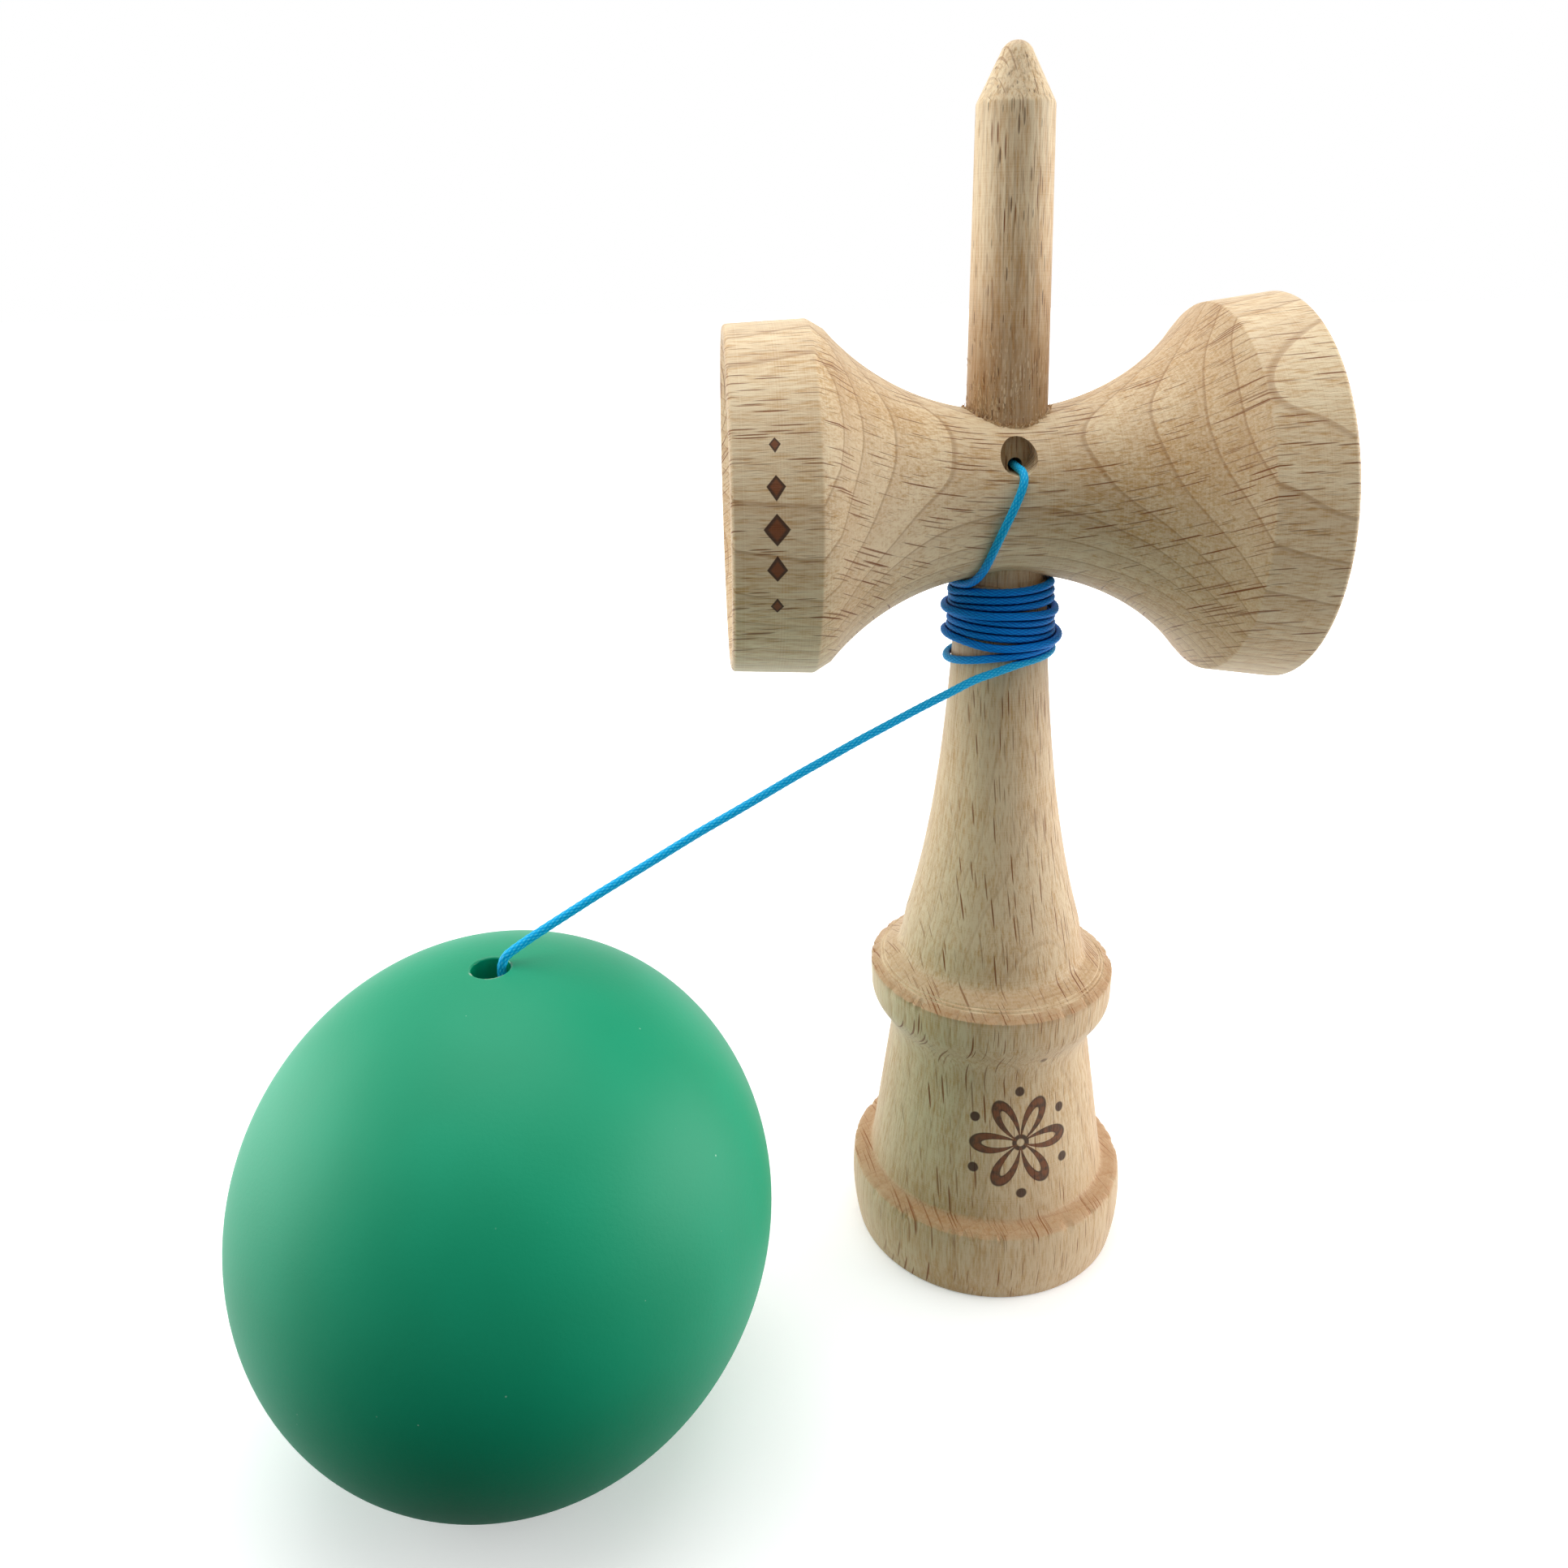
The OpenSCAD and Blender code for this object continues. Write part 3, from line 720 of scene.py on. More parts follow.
# %% Scatter the slivers
def sliver(root, way, side, length, width, curl):
    """A thin tapered chip: four cross-sections and its faces."""
    way, side = np.array(way) / np.linalg.norm(way), np.array(side) / np.linalg.norm(side)
    face = np.cross(way, side)
    points = []
    for t, wide in ((0, 1), (0.35, 0.95), (0.7, 0.6), (1, 0.12)):
        middle = np.array(root) + length * (t * way + curl * t * t * face)
        for s, f in ((-1, -0.3), (1, -0.3), (1, 0.3), (-1, 0.3)):
            points.append(middle + width * wide / 2 * (s * side + f * face))
    faces = [(3, 2, 1, 0), (12, 13, 14, 15)]
    for ring in range(0, 12, 4):
        for k in range(4):
            n = (k + 1) % 4
            faces.append((ring + k, ring + n, ring + n + 4, ring + k + 4))
    return points, faces


def rim_ways(a):
    """Outward and along the rim, at an angle round the shaft."""
    return np.array([math.cos(a), math.sin(a), 0]), np.array([-math.sin(a), math.cos(a), 0])


def heap(more, joins):
    """Adds a sliver's points and faces to the rest."""
    faces.extend([tuple(i + len(points) for i in f) for f in joins])
    points.extend(more)


COLLAR_COUNT, SCRAPED_COUNT, LONGEST = 480, 170, 0.8
UPRIGHT = np.array([0, 0, 1])
chance = np.random.default_rng(7)
points, faces = [], []
for _ in range(COLLAR_COUNT):
    a = math.radians(chance.normal(-120, 55) if chance.random() < 0.6 else chance.uniform(-180, 180))
    r = SPIKE_D / 2 + SPIKE_TAPER * 1.3 + chance.uniform(0.0, 0.35)
    x, y = r * math.cos(a), r * math.sin(a)
    root = (x, y, CROSS_Z + math.sqrt(flare_radius(x) ** 2 - y * y) - 0.08)
    outward, along_rim = rim_ways(a)
    lean, swing = chance.uniform(0.05, 0.9), chance.normal(0, 0.9)
    way = lean * outward + swing * along_rim + UPRIGHT * chance.uniform(0.3, 1.1)
    side = np.cross(way, outward + 0.3 * along_rim * chance.normal())
    length = min(0.18 + 0.2 * chance.exponential(), LONGEST)
    width, curl = chance.uniform(0.1, 0.34), chance.normal(0, 0.35)
    heap(*sliver(root, way, side, length, width, curl))
for _ in range(SCRAPED_COUNT):
    a = math.radians(chance.normal(-130, 32))
    z = SPIKE_Z - 0.8 + 2.6 * chance.exponential()
    r = SPIKE_D / 2 - SPIKE_TAPER * (z - SPIKE_Z) - 0.03
    outward, along_rim = rim_ways(a)
    root = r * outward + UPRIGHT * z
    way = UPRIGHT + chance.uniform(0.05, 0.3) * outward + chance.normal(0, 0.15) * along_rim
    length, width, curl = chance.uniform(0.3, 1.0), chance.uniform(0.08, 0.2), chance.normal(0, 0.1)
    heap(*sliver(root, way, along_rim, length, width, curl))
fibres = new_piece("spike_fibres", np.array(points) * MM, faces)
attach(fibres, "ken")
print("slivers:", len(faces) // 14)

# %% [markdown]
# ## The ball
# The tama is a ball with a wide hole below for the spike and a small one on top for the cord. Its
# outline goes round the outside, in at one hole and out at the other, so spinning it gives a ring with
# both holes already in it and no cutting is needed. Paint gathers in a rounded lip at the small hole.

# %% Turn the ball
R = BALL_D / 2
lip_r, LIP_END = BALL_STRING_D / 2, 27
top_edge = (lip_r, math.sqrt(R**2 - lip_r**2))
mouth_edge = (BALL_MOUTH_D / 2, -BALL_Z)
outside = arc((0, 0), R, -90 + math.degrees(math.asin(BALL_MOUTH_D / 2 / R)), 84, 150)
bore_top = BALL_HOLE_DEPTH - BALL_Z
ball_outline = [
    *soft_corner((BALL_HOLE_D / 2, -BALL_Z + MOUTH_DEPTH), mouth_edge, outside[1], 0.25),
    *outside[1:],
    *soft_corner(outside[-1], top_edge, (lip_r, LIP_END), 0.28, 10),
    (lip_r, LIP_END),
    (lip_r, CHAMBER_TOP - BALL_Z),
    (CHAMBER_D / 2, CHAMBER_TOP - BALL_Z),
    (CHAMBER_D / 2, bore_top + (BALL_HOLE_D - CHAMBER_D) / 4),
    (BALL_HOLE_D / 2, bore_top),
    (BALL_HOLE_D / 2, -BALL_Z + MOUTH_DEPTH + 0.2),
    (BALL_HOLE_D / 2 + 0.05, -BALL_Z + MOUTH_DEPTH),
]
tama = lathe("ball_turned", ball_outline, place=(BALL_X, BALL_Y, BALL_Z), closed=True)
finish_shading(tama, 40)
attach(tama, "tama")
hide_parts("tama")

# %% [markdown]
# ## The bead
# A small barrel bead sits in the chamber at the end of the ball's wide hole, and stops the cord from
# slipping out. It is a sphere with its sides and ends cut flat, so half of its outline is drawn and
# mirrored before it is spun.

# %% Turn the bead
bead_r = BEAD_D / 2 + 0.35
bead_end = math.sqrt(bead_r**2 - (BEAD_LEN / 2) ** 2)
lower = arc((0, 0), bead_r, math.degrees(math.atan2(-BEAD_LEN / 2 + 0.15, bead_end)), -16, 12)
lower = [(min(r, BEAD_D / 2), z) for r, z in lower]
half = [(BEAD_HOLE_D / 2, -BEAD_LEN / 2 + 0.2), (BEAD_HOLE_D / 2 + 0.2, -BEAD_LEN / 2)]
half += [(bead_end - 0.15, -BEAD_LEN / 2), *lower]
bead_outline = half + [(r, -z) for r, z in half[::-1]]
bead_place = (BALL_X, BALL_Y, BEAD_TOP - BEAD_LEN / 2)
bead = lathe("bead_turned", bead_outline, place=bead_place, segments=64, closed=True)
finish_shading(bead)
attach(bead, "cord_tail")
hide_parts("bead")

# %% [markdown]
# ## The two knots
# The cord is stopped by a plain overhand knot in the shaft and another under the bead. Both are out of
# sight. An overhand knot pulled tight is a trefoil, so the same braid is swept along that closed line.

# %% Tie the knots
def knot_line(middle, facing):
    """A tight trefoil round a place, its axis along a direction."""
    t = np.linspace(0, 2 * math.pi, 121)
    ring = 0.62 + 0.38 * np.cos(3 * t)
    flat = np.stack([ring * np.cos(2 * t), ring * np.sin(2 * t), 0.45 * np.sin(3 * t)], 1)
    spin = Vector((0, 0, 1)).rotation_difference(Vector(facing))
    return np.array([spin @ Vector(p) for p in flat.tolist()]) + np.array(middle)


def tie(name, middle, facing, body, node):
    """A knot that goes with its stretch of cord."""
    _, loops, rise, _ = sweep_rings(knot_line(middle, facing))
    piece = tube_piece(name, loops, rise)
    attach(piece, body)
    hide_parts(node)
    return piece


in_shaft = (0, 2.55, STRING_HOLE_Z - 1.2)
under_bead = (BALL_X, BALL_Y, BEAD_TOP - BEAD_LEN - 1.2)
shaft_knot = tie("shaft_knot", in_shaft, (0, 1, 0), "ken", "ken_knot")
end_knot = tie("end_knot", under_bead, (0, 0, -1), "cord_tail", "bead_knot")
print("knots", len(shaft_knot.data.vertices), "points each")

# %% [markdown]
# ## The cord's stretches
# A real cord has one length, however it lies. For each stretch its middle line and its length are
# worked out again from the swept rings.

def declare(name, far_end, lay, *others):
    """Works out a stretch of cord's middle line and its length."""
    k = names.index(name)
    start, end = cuts[k], cuts[k + 1]
    line = centre[sorted({*range(start, end + 1, 3), end})] * MM
    float(even[end] - even[start]) * MM


declare("cord_wound", "object", "coiled", cords["cord_turn"], shaft_knot)
declare("cord_reach", "object", "taut")
declare("cord_drop", "knot", "taut", bead, end_knot)

# %% [markdown]
# ## Writing materials as sums
# A node material is a formula drawn as boxes. The small class below wraps one socket, so that formulas
# can be written as formulas: adding, multiplying and mixing make the nodes.

# %% A wire that can be added and multiplied
class Wire:
    """One output socket of a material, with arithmetic."""

    def __init__(self, tree, socket=None):
        self.tree, self.socket = tree, socket

    def add(self, kind, settings=None, sockets=None, out=0):
        """Any node: its settings first, then its sockets. Gives the wire of one output."""
        node = self.tree.nodes.new(kind)
        for name, value in (settings or {}).items():
            setattr(node, name, value)
        for name, value in (sockets or {}).items():
            if isinstance(value, Wire):
                self.tree.links.new(value.socket, node.inputs[name])
            else:
                node.inputs[name].default_value = value
        return Wire(self.tree, node.outputs[out])

    def calc(self, operation, *terms):
        """A Math node."""
        return self.add("ShaderNodeMath", {"operation": operation}, dict(enumerate(terms)))

    def __add__(self, other):
        return self.calc("ADD", self, other)

    __radd__ = __add__

    def __sub__(self, other):
        return self.calc("SUBTRACT", self, other)

    def __rsub__(self, other):
        return self.calc("SUBTRACT", other, self)

    def __mul__(self, other):
        return self.calc("MULTIPLY", self, other)

    __rmul__ = __mul__

    def __truediv__(self, other):
        return self.calc("DIVIDE", self, other)

    def __rtruediv__(self, other):
        return self.calc("DIVIDE", other, self)

    def __pow__(self, other):
        return self.calc("POWER", self, other)

    def __rpow__(self, other):
        return self.calc("POWER", other, self)

    def size(self):
        """The value without its sign."""
        return self.calc("ABSOLUTE", self)

    def rise(self, low, high):
        """0 below low, 1 above high and smooth between them; low may be the larger."""
        smooth = {"interpolation_type": "SMOOTHSTEP"}
        return self.add("ShaderNodeMapRange", smooth, {0: self, 1: low, 2: high})

    def mix(self, first, second):
        """From the first colour at 0 to the second at 1."""
        return self.add("ShaderNodeMix", {"data_type": "RGBA"}, {0: self, 6: first, 7: second}, 2)

    def at(self, x, y, z):
        """A vector from three values."""
        return self.add("ShaderNodeCombineXYZ", None, {0: x, 1: y, 2: z})

    def split(self):
        """The three values of a vector."""
        node = self.add("ShaderNodeSeparateXYZ", None, {0: self}).socket.node
        return [Wire(self.tree, s) for s in node.outputs]

    def noise(self, scale=1.0, detail=2.0, rough=0.5):
        """Noise at this vector, about 0 to 1."""
        sockets = {"Vector": self, "Scale": scale, "Detail": detail, "Roughness": rough}
        return self.add("ShaderNodeTexNoise", None, sockets)

    def spindles(self, size):
        """Thin scattered spindles, each with its own size and strength, 0 to 1."""
        cells = self.add("ShaderNodeTexVoronoi", None, {"Vector": self, "Scale": 1.0}).socket.node
        near, chance = Wire(self.tree, cells.outputs["Distance"]), Wire(self.tree, cells.outputs["Color"])
        own, strong, _ = chance.split()
        return (near / (size * (0.5 + own * 0.7))).rise(1.0, 0.7) * (0.45 + strong * 0.55)

    def bump(self, distance, strength=1.0):
        """A normal that follows this height."""
        sockets = {"Height": self, "Distance": distance, "Strength": strength}
        return self.add("ShaderNodeBump", None, sockets)

    def from_place(self, place):
        """Distance of this position from a place."""
        between = {"operation": "DISTANCE"}
        return self.add("ShaderNodeVectorMath", between, {0: self, 1: place}, "Value")


def srgb(r, g, b):
    """A colour as a paint program writes it, 0 to 255, for a node."""
    parts = [c / 255 for c in (r, g, b)]
    return (*[c / 12.92 if c <= 0.04045 else ((c + 0.055) / 1.055) ** 2.4 for c in parts], 1)


def new_material(name):
    """A material, its shader's inputs and an empty wire to start from."""
    material = bpy.data.materials.new(name)
    material.use_nodes = True
    tree = material.node_tree
    return material, tree.nodes["Principled BSDF"].inputs, Wire(tree)


def plug(wire, socket):
    """Leads a wire into a shader's socket."""
    wire.tree.links.new(wire.socket, socket)


def millimetres(start):
    """Position on the piece, in millimetres."""
    place = start.add("ShaderNodeTexCoord", out="Object")
    scale = (1 / MM, 1 / MM, 1 / MM)
    return place.add("ShaderNodeVectorMath", {"operation": "MULTIPLY"}, {0: place, 1: scale})


print("white as a node sees it:", srgb(255, 255, 255))

# %% [markdown]
# ## Beech
# Beech is known by its rays: short dark dashes on a face that looks along them, long thin lines where
# the saw cut across. The material follows the tree instead of painting the surface. Growth rings are
# shells round a pith outside the piece, and the rays are flat spindles that point at it, so every face
# of the turning shows the right figure by itself.

# %% Mix the wood
PALE, TAN, BROWN = srgb(241, 221, 184), srgb(202, 157, 98), srgb(152, 100, 50)
RAY = srgb(128, 72, 26)
GRAIN_DEPTH = 0.14 * MM


def beech(name, along, middle, pith, seed, rings=1.0, ends=0.4, rays=4.2, finish=None):
    """Wood whose fibres run along an axis, with its pith at an offset across them."""
    material, shader, start = new_material(name)
    spot = millimetres(start)
    x, y, z = spot.split()
    g, u, v = (z, x, y) if along == "Z" else (x, y, z)
    u, v = u - middle[0], v - middle[1]
    drift = start.at(u * 0.03, v * 0.03, g * 0.02 + seed).noise(1.0, 2.0) - 0.5
    du, dv = u - pith[0], v - pith[1]
    reach = (du * du + dv * dv) ** 0.5
    radial = reach + drift * 7
    round_about = start.calc("ARCTAN2", dv, du) * math.hypot(*pith)
    year = radial * 0.38 + start.at(radial * 0.13, 0.0, seed).noise(1.0, 1.0) * 1.8
    year = year.calc("FRACT", year)
    late = year.rise(0.2, 0.9) * year.rise(1.0, 0.94)
    line = year.rise(0.89, 0.96) * year.rise(1.0, 0.98)
    patch = start.at(u * 0.07, v * 0.07, g * 0.035 + seed).noise(1.0, 2.0)
    streak = start.at(u * 1.6, v * 1.6, g * 0.05 + seed).noise(1.0, 3.0, 0.6)
    fibre = start.at(u * 3.6, v * 3.6, g * 0.36).noise(1.0, 3.0, 0.68)
    turned = start.at(0.0, seed, g * 6.0).noise(1.0, 2.0, 0.7)
    nx, ny, nz = start.add("ShaderNodeTexCoord", out="Normal").split()
    ng, nu, nv = (nz, nx, ny) if along == "Z" else (nx, ny, nz)
    end_grain = ng.size().rise(0.35, 0.95)
    quarter = (nv * du - nu * dv) / reach
    edge_on = quarter.size().rise(1.0, 0.88)
    coarse = start.at(radial * 0.085, round_about * rays, g * 0.13 + seed)
    coarse = coarse.spindles(0.29 + end_grain * 0.1)
    fine = start.at(radial * 0.1, round_about * 5.0, g * 0.3 + seed).spindles(0.27)
    coarse, fine = coarse * edge_on, fine * edge_on
    tone = patch * 0.7 + streak * 0.7 + (fibre - 0.5) * (1.5 - end_grain * 0.6) + (turned - 0.5) * 0.5
    colour = tone.rise(0.15, 1.0).mix(TAN, PALE)
    colour = ((late * 0.14 + line * 0.36) * rings).mix(colour, BROWN)
    colour = (end_grain * ends).mix(colour, BROWN)
    colour = coarse.mix(colour, RAY)
    colour = (fine * (0.3 + end_grain * 0.5)).mix(colour, RAY)
    if finish:
        colour = finish(spot, colour)
    plug(colour, shader["Base Color"])
    plug(0.42 + fibre * 0.16, shader["Roughness"])
    shader["Specular IOR Level"].default_value = 0.3
    shader["Sheen Weight"].default_value = 0.12
    shader["Sheen Roughness"].default_value = 0.35
    height = fibre * 0.9 + turned * 0.2 - coarse * 0.2
    plug(height.bump(GRAIN_DEPTH, 0.62), shader["Normal"])
    print("material", name, len(material.node_tree.nodes), "nodes")
    return material


# %% [markdown]
# ## Burnt ornament
# A hot stamp leaves brown wood with a darker edge. A texture picture could hold the marks, but shapes
# written as distances stay sharp at any size: petals are a cosine round a centre, and lozenges are the
# places where two distances add up to less than one.

# %% Burn a rosette and a row of lozenges
BURN, SCORCH = srgb(112, 54, 18), srgb(56, 24, 8)
ROSETTE_Z, ROSETTE_RIGHT, BODY_R = 21.0, 1.2, 14.3
BAND_X, BAND_R, LOZENGE_GAP = 29.6, 21.3, 4.6


def burnt(colour, inner, outer):
    """Brands a shape into a colour: dark where it was touched, darkest at its edges."""
    return outer.mix(colour, inner.mix(SCORCH, BURN))


def rosette(spot, colour):
    """Six petals, six dots and an eye on the front of the body."""
    x, y, z = spot.split()
    across, rise = x.calc("ARCTAN2", x, 0.0 - y) * BODY_R - ROSETTE_RIGHT, z - ROSETTE_Z
    r = (across * across + rise * rise) ** 0.5
    wave = across.calc("COSINE", rise.calc("ARCTAN2", rise, across) * 3.0).size()
    leaf = (wave ** 0.7) * 6.6 - r
    vein = (wave ** 3.0) * 5.0 - r
    dot = ((r - 6.9) * (r - 6.9) + (wave * r * 0.33) * (wave * r * 0.33)) ** 0.5
    shape = leaf.rise(-0.12, 0.12) * vein.rise(0.1, -0.15)
    shape = shape.calc("MAXIMUM", shape, dot.rise(0.75, 0.55))
    shape = shape.calc("MAXIMUM", shape, r.rise(1.2, 1.0)) * r.rise(0.4, 0.6)
    inner = leaf.rise(0.1, 0.5) * vein.rise(-0.15, -0.5) * spot.noise(1.2, 2.0).rise(0.3, 0.6)
    return burnt(colour, inner, shape * 0.92)


def lozenges(spot, colour):
    """Five small lozenges burnt into the band of the smaller cup."""
    x, y, z = spot.split()
    height = z - CROSS_Z
    along = height.calc("ARCTAN2", height, 0.0 - y) * BAND_R
    near = along.calc("MODULO", along + 24.8, LOZENGE_GAP) - LOZENGE_GAP / 2
    size = 1.0 - along.size() / 17.0
    reach = ((x + BAND_X).size() / 1.5 + near.size() / 2.0) / size
    inside = along.size().rise(11.6, 11.5) * (0.0 - y).rise(0.0, 0.5) * x.rise(-25.0, -26.0)
    return burnt(colour, reach.rise(0.8, 0.5), reach.rise(1.05, 0.95) * inside * 0.95)


print("lozenges", LOZENGE_GAP, "mm apart")

# %% [markdown]
# ## Worn places on the ken, and painted shade at its base
# Real wood is uneven: darker where end grain shows at the rings' edges, pale in the scribed lines, and
# scraped, streaked and torn where the crosspiece was driven down the spike. The stick is also browner
# below the crosspiece, and darker at the base as painted shade. Each is one mask of place and noise,
# mixed over the plain wood in turn.

# %% Wear the ken and give each piece its wood
CUT_EDGE, SCRATCH, PIN_KNOT = srgb(168, 110, 58), srgb(240, 220, 184), srgb(92, 58, 36)
SCRAPED, STREAK, DASH, TORN = srgb(158, 102, 52), srgb(134, 90, 48), srgb(92, 54, 24), srgb(248, 226, 188)
SCRIBE_R = (14.97, 14.55)


def ken_finish(spot, colour):
    """Browner lower wood, painted shade at the base, a pin knot, dark edges, scribed lines, the scraped
    spike foot, the rosette.
    """
    x, y, z = spot.split()
    # Browner below the crosspiece; the extra darkening at the base is painted shade
    colour = (z.rise(104.0, 90.0) * 0.2 + z.rise(24.0, 8.0) * 0.14).mix(colour, BROWN)
    knot = spot.from_place((4.0, -13.4, 32.5))
    colour = (knot.rise(0.7, 0.3) * 0.75).mix(colour, PIN_KNOT)
    out = (x * x + y * y) ** 0.5
    ragged = out + spot.noise(0.9, 3.0, 0.7) * 1.6
    slip_rim = ragged.rise(15.6, 16.4) * z.rise(38.6, 39.6) * z.rise(41.0, 40.4)
    rim = slip_rim + z.rise(9.2, 9.7) * z.rise(11.0, 10.4)
    colour = (rim * 0.3).mix(colour, CUT_EDGE)
    first, second = ((out - r).size() for r in SCRIBE_R)
    scribe = first.calc("MINIMUM", first, second).rise(0.2, 0.1)
    scribe = scribe * z.rise(39.9, 40.0) * z.rise(41.2, 41.0) * spot.noise(0.25, 1.0).rise(0.35, 0.7)
    colour = (scribe * 0.6).mix(colour, SCRATCH)
    above = z.rise(110.0, 113.0)
    scraped = above * z.rise(140.0, 116.0)
    colour = (scraped * 0.42).mix(colour, SCRAPED)
    dark = spot.at(x * 2.6, y * 2.6, z * 0.09).noise(1.0, 3.0, 0.6).rise(0.5, 0.68)
    colour = (dark * above * 0.4).mix(colour, STREAK)
    dash = spot.at(x * 1.6, y * 1.6, z * 0.17).spindles(0.19)
    colour = (dash * above * 0.9).mix(colour, DASH)
    torn = spot.at(x * 3.0, y * 3.0, z * 0.8).spindles(0.4) * spot.noise(0.35, 2.0).rise(0.38, 0.55)
    colour = (torn * z.rise(128.0, 114.0) * above).mix(colour, TORN)
    return rosette(spot, colour)


for piece, wood in (
    (ken, beech("beech_ken", "Z", (0, 0), (-25, 66), 3.0, 0.45, 0.2, 3.3, ken_finish)),
    (sarado, beech("beech_sarado", "X", (0, CROSS_Z), (56, -42), 8.0, 1.0, 0.25, 4.2, lozenges)),
    (bead, beech("bead_wood", "Z", (BALL_X, BALL_Y), (30, 30), 5.0)),
    (fibres, beech("torn_wood", "Z", (0, 0), (40, 30), 6.0)),
):
    piece.data.materials.append(wood)

# %% [markdown]
# ## Paint
# The ball wears a flat teal-green paint, sprayed over sanded wood. It shows a fine orange peel, a few
# pale specks of dust, a glossy pool with chipped flakes in the small hole, and bare wood inside the
# large one, where paint doesn't reach.

# %% Paint the ball
GREEN, LIGHT_GREEN = srgb(0, 149, 107), srgb(4, 157, 115)
DUST, BARE_WOOD, FLAKE = srgb(180, 220, 200), srgb(205, 175, 135), srgb(196, 206, 184)
material, shader, start = new_material("ball_paint")
spot = millimetres(start)
x, y, z = spot.split()
cloud = spot.noise(0.05, 2.0)
scatter = x.at(x * 0.4, y * 0.4, z * 0.4)
speck = scatter.spindles(0.045) * spot.noise(0.2, 1.0).rise(0.5, 0.6)
colour = cloud.rise(0.3, 0.7).mix(GREEN, LIGHT_GREEN)
colour = (speck * 0.6).mix(colour, DUST)
dx, dy = x - BALL_X, y - BALL_Y
off_axis = (dx * dx + dy * dy) ** 0.5
inside = off_axis.rise(8.35, 8.15) * z.rise(46.0, 44.0)
colour = inside.mix(colour, BARE_WOOD)
pool = off_axis.rise(2.5, 2.2) * z.rise(52.0, 55.0)
flake = pool * off_axis.rise(1.9, 2.15) * dy.rise(-0.4, -1.2)
flake = flake * spot.noise(1.3, 2.0).rise(0.42, 0.55)
colour = (flake * 0.75).mix(colour, FLAKE)
plug(colour, shader["Base Color"])
peel = spot.noise(2.2, 2.0)
plug((peel + spot.noise(9.0, 1.0) * 0.3).bump(0.04 * MM, 0.35), shader["Normal"])
plug(0.52 - pool * 0.34, shader["Roughness"])
shader["Specular IOR Level"].default_value = 0.33
tama.data.materials.append(material)
print("paint on", tama.name)

# %% [markdown]
# ## Blue cord
# The cord is a bright blue synthetic braid. The height stored with the mesh darkens the valleys between
# stitches with painted shade and gives the crowns a painted highlight. The second stored value says how
# open a point lies: the imported turns get a deeper blue as painted shade, and navy between each other.

# %% Dye the cord
SHADED_VALLEY, CROWN, PAINTED_HIGHLIGHT = srgb(0, 134, 216), srgb(8, 190, 246), srgb(120, 226, 252)
SHADED_TURN_VALLEY, SHADED_TURN_CROWN, CREVICE_SHADE = srgb(0, 90, 214), srgb(0, 158, 255), srgb(0, 12, 84)
material, shader, start = new_material("cord_blue")
proud = start.add("ShaderNodeAttribute", {"attribute_name": "relief"}, None, "Fac")
spot = millimetres(start)
# Painted shade in the valleys between stitches, and a painted highlight on the crowns
free = proud.rise(0.15, 0.75).mix(SHADED_VALLEY, CROWN)
free = (proud.rise(0.7, 1.0) * 0.6).mix(free, PAINTED_HIGHLIGHT)
# The wound turns: a deeper blue as painted shade, and navy painted shade where turns or wood touch
shaded_turns = proud.rise(0.15, 0.85).mix(SHADED_TURN_VALLEY, SHADED_TURN_CROWN)
open_air = start.add("ShaderNodeAttribute", {"attribute_name": "openness"}, None, "Fac")
colour = open_air.rise(0.05, 0.6).mix(CREVICE_SHADE, shaded_turns)
colour = open_air.rise(0.5, 1.0).mix(colour, free)
plug(colour, shader["Base Color"])
plug(spot.noise(14.0, 2.0).bump(0.02 * MM, 0.4), shader["Normal"])
shader["Roughness"].default_value = 0.5
shader["Specular IOR Level"].default_value = 0.15
for piece in [*cords.values(), shaft_knot, end_knot]:
    piece.data.materials.append(material)
print("cord pieces dyed:", len(cords) + 2)

# %% [markdown]
# ## The table
# The toy stands on a white table that keeps its shadow. A brighter lamp could make the table white, but
# it would bleach the wood, so the table itself is white to the camera, to gloss and through glass. In
# front of the ball it throws back less light, as if a dark card lay there, which keeps the ball's lower
# side deep.

# %% Set the table
CARD = (-70, -125, 0)
scene = bpy.context.scene
scene.view_settings.view_transform = "Standard"


def grey(level):
    """A grey of a given strength, for a node."""
    return (level, level, level, 1)


def ray_kinds(tree):
    """Three wires: whether a ray comes from the camera, from gloss or through glass."""
    paths = Wire(tree).add("ShaderNodeLightPath").socket.node.outputs
    return [Wire(tree, paths[n]) for n in ("Is Camera Ray", "Is Glossy Ray", "Is Transmission Ray")]


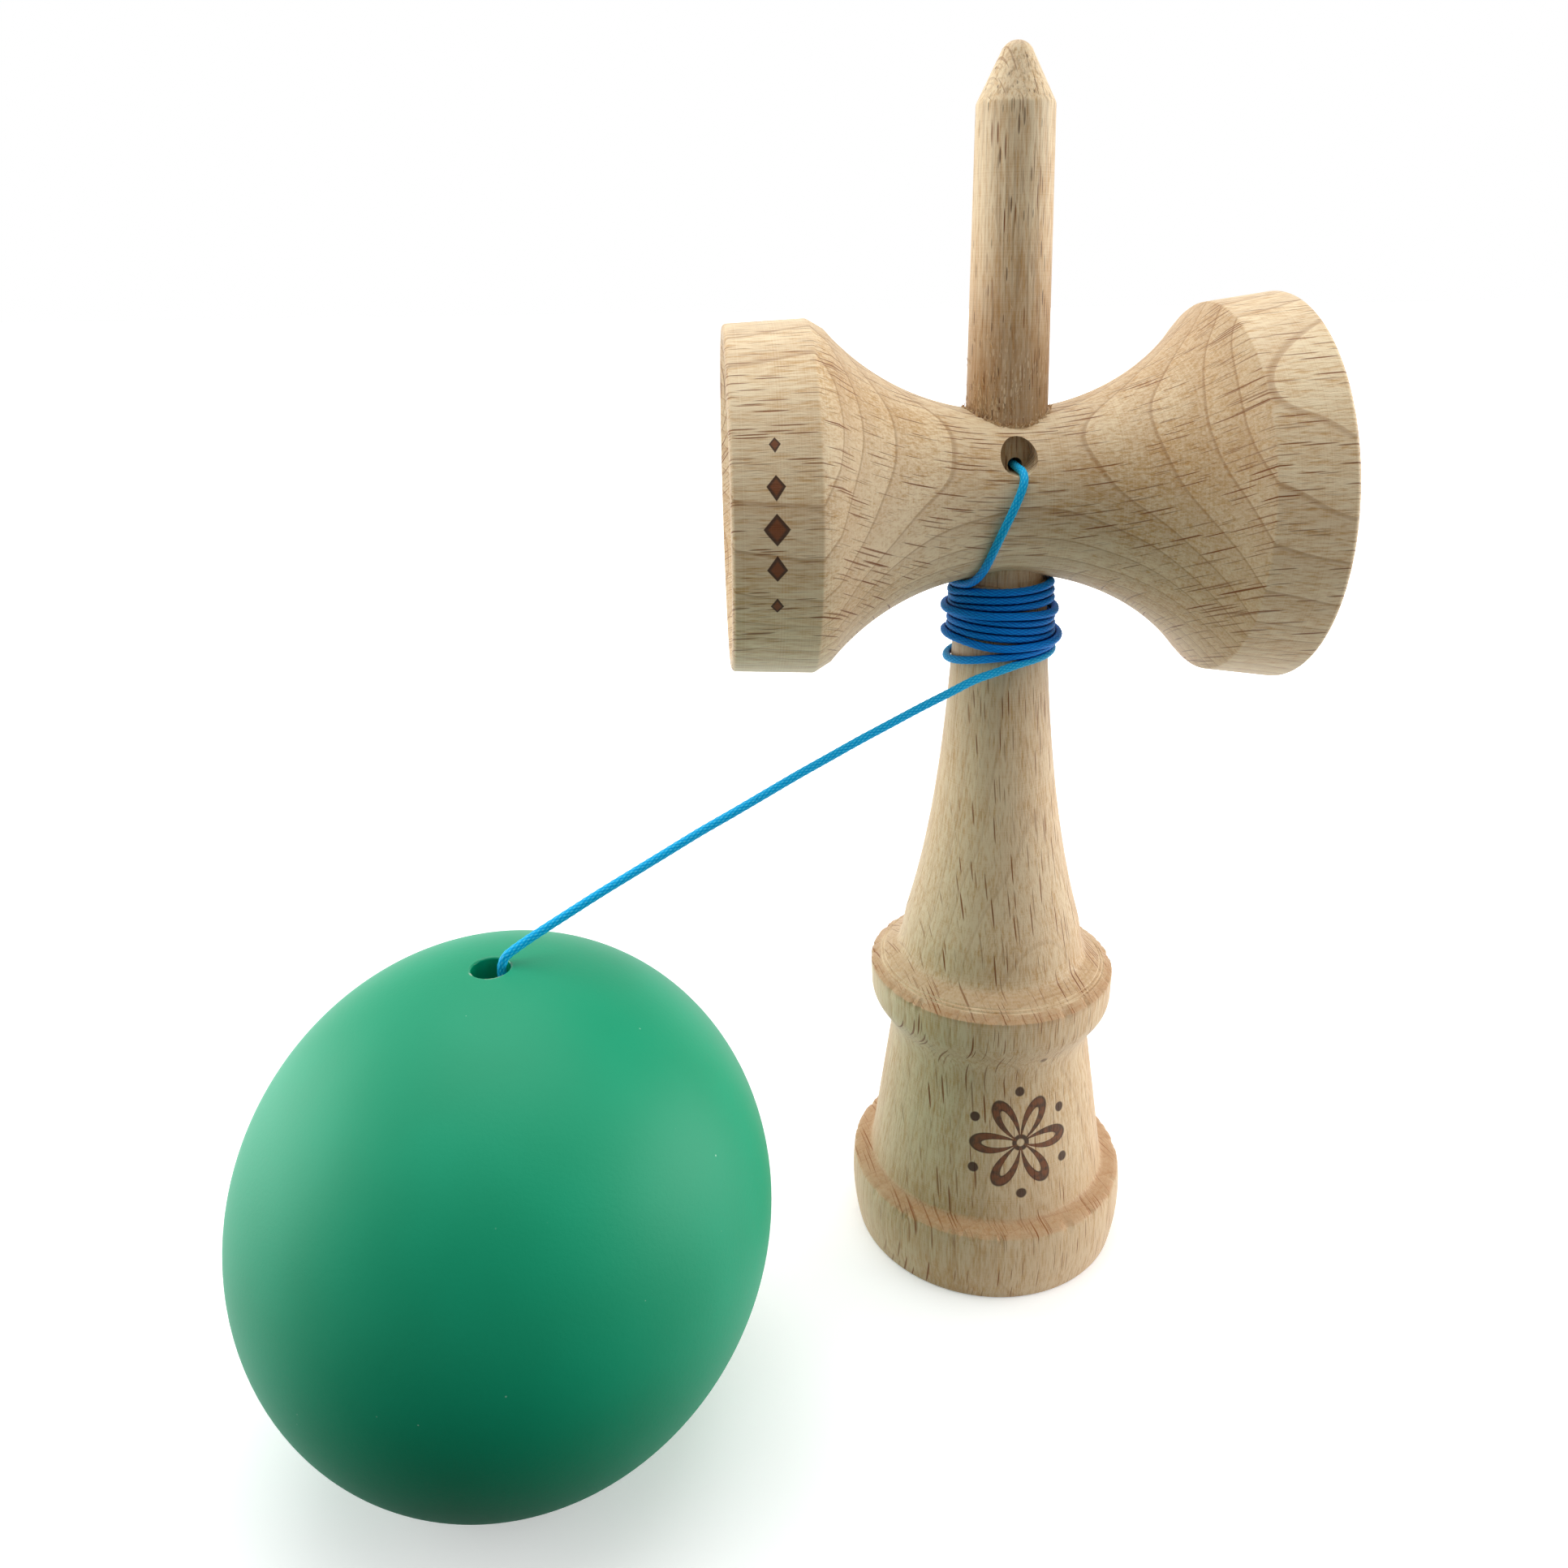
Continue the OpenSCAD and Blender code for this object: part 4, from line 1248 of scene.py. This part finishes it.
floor = new_piece("floor", [(-3, -3, 0), (3, -3, 0), (3, 3, 0), (-3, 3, 0)], [(0, 1, 2, 3)])
material, shader, start = new_material("floor")
seen, glossy, through = ray_kinds(material.node_tree)
spot = millimetres(start)
away = spot.from_place((0, 0, 0)).rise(120.0, 420.0)
_, depth, _ = spot.split()
clear = spot.from_place(CARD).rise(50.0, 125.0) * (0.3 + depth.rise(-110.0, -30.0) * 0.7)
bounce = clear.mix(grey(0.03), grey(0.82))
seen = seen.calc("MAXIMUM", seen, glossy.calc("MAXIMUM", glossy, through) * clear)
plug(seen.mix(bounce, grey(0.9)), shader["Base Color"])
plug((seen * (0.3 + away * 0.7)).mix(grey(0), grey(1)), shader["Emission Color"])
shader["Roughness"].default_value = 0.9
shader["Specular IOR Level"].default_value = 0.0
shader["Emission Strength"].default_value = 1.0
floor.data.materials.append(material)
floor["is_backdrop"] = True
print("table set, with a dark card at", CARD)

# %% [markdown]
# ## Lamps and surround
# A small sun would throw hard shadows. The soft studio here has one wide lamp overhead, a panel on each
# side and a surround that is dim towards the front. The camera alone sees the surround plain white, so
# a white background adds no light. Gloss sees it white behind the toy and dark in front.

# %% Hang the lamps and light the surround
def lamp(name, place, aim, size, power):
    """A soft square lamp that points at a place."""
    data = bpy.data.lights.new(name, "AREA")
    data.shape, data.size, data.energy = "SQUARE", size, power
    light = bpy.data.objects.new(name, data)
    light.location = place
    light.rotation_euler = (Vector(aim) - Vector(place)).to_track_quat("-Z", "Y").to_euler()
    scene.collection.objects.link(light)


lamp("overhead", (-0.02, 0.1, 0.75), (-0.02, -0.01, 0.05), 0.75, 4.0)
lamp("left", (-0.6, 0.08, 0.14), (-0.03, 0, 0.08), 0.55, 2.9)
lamp("right", (0.55, -0.04, 0.1), (0, 0, 0.08), 0.55, 3.9)
world = bpy.data.worlds.new("studio")
world.use_nodes = True
scene.world = world
seen, glossy, through = ray_kinds(world.node_tree)
_, y, z = seen.add("ShaderNodeTexCoord", out="Generated").split()
level = (y + z * 0.7).rise(-0.85, 0.05)
lit = level.mix(grey(0.07), grey(0.5))
shown = level.mix(grey(0.02), grey(1))
shade = glossy.calc("MAXIMUM", glossy, through).mix(lit, shown)
plug(seen.mix(shade, grey(1)), world.node_tree.nodes["Background"].inputs["Color"])
print("lamps set")

# %% [markdown]
# ## The size, and the end
# Dressing a part must not make it larger. A ruler in the viewport would show it; the last step measures
# the box of the finished toy.

# %% Measure the size
low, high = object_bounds()
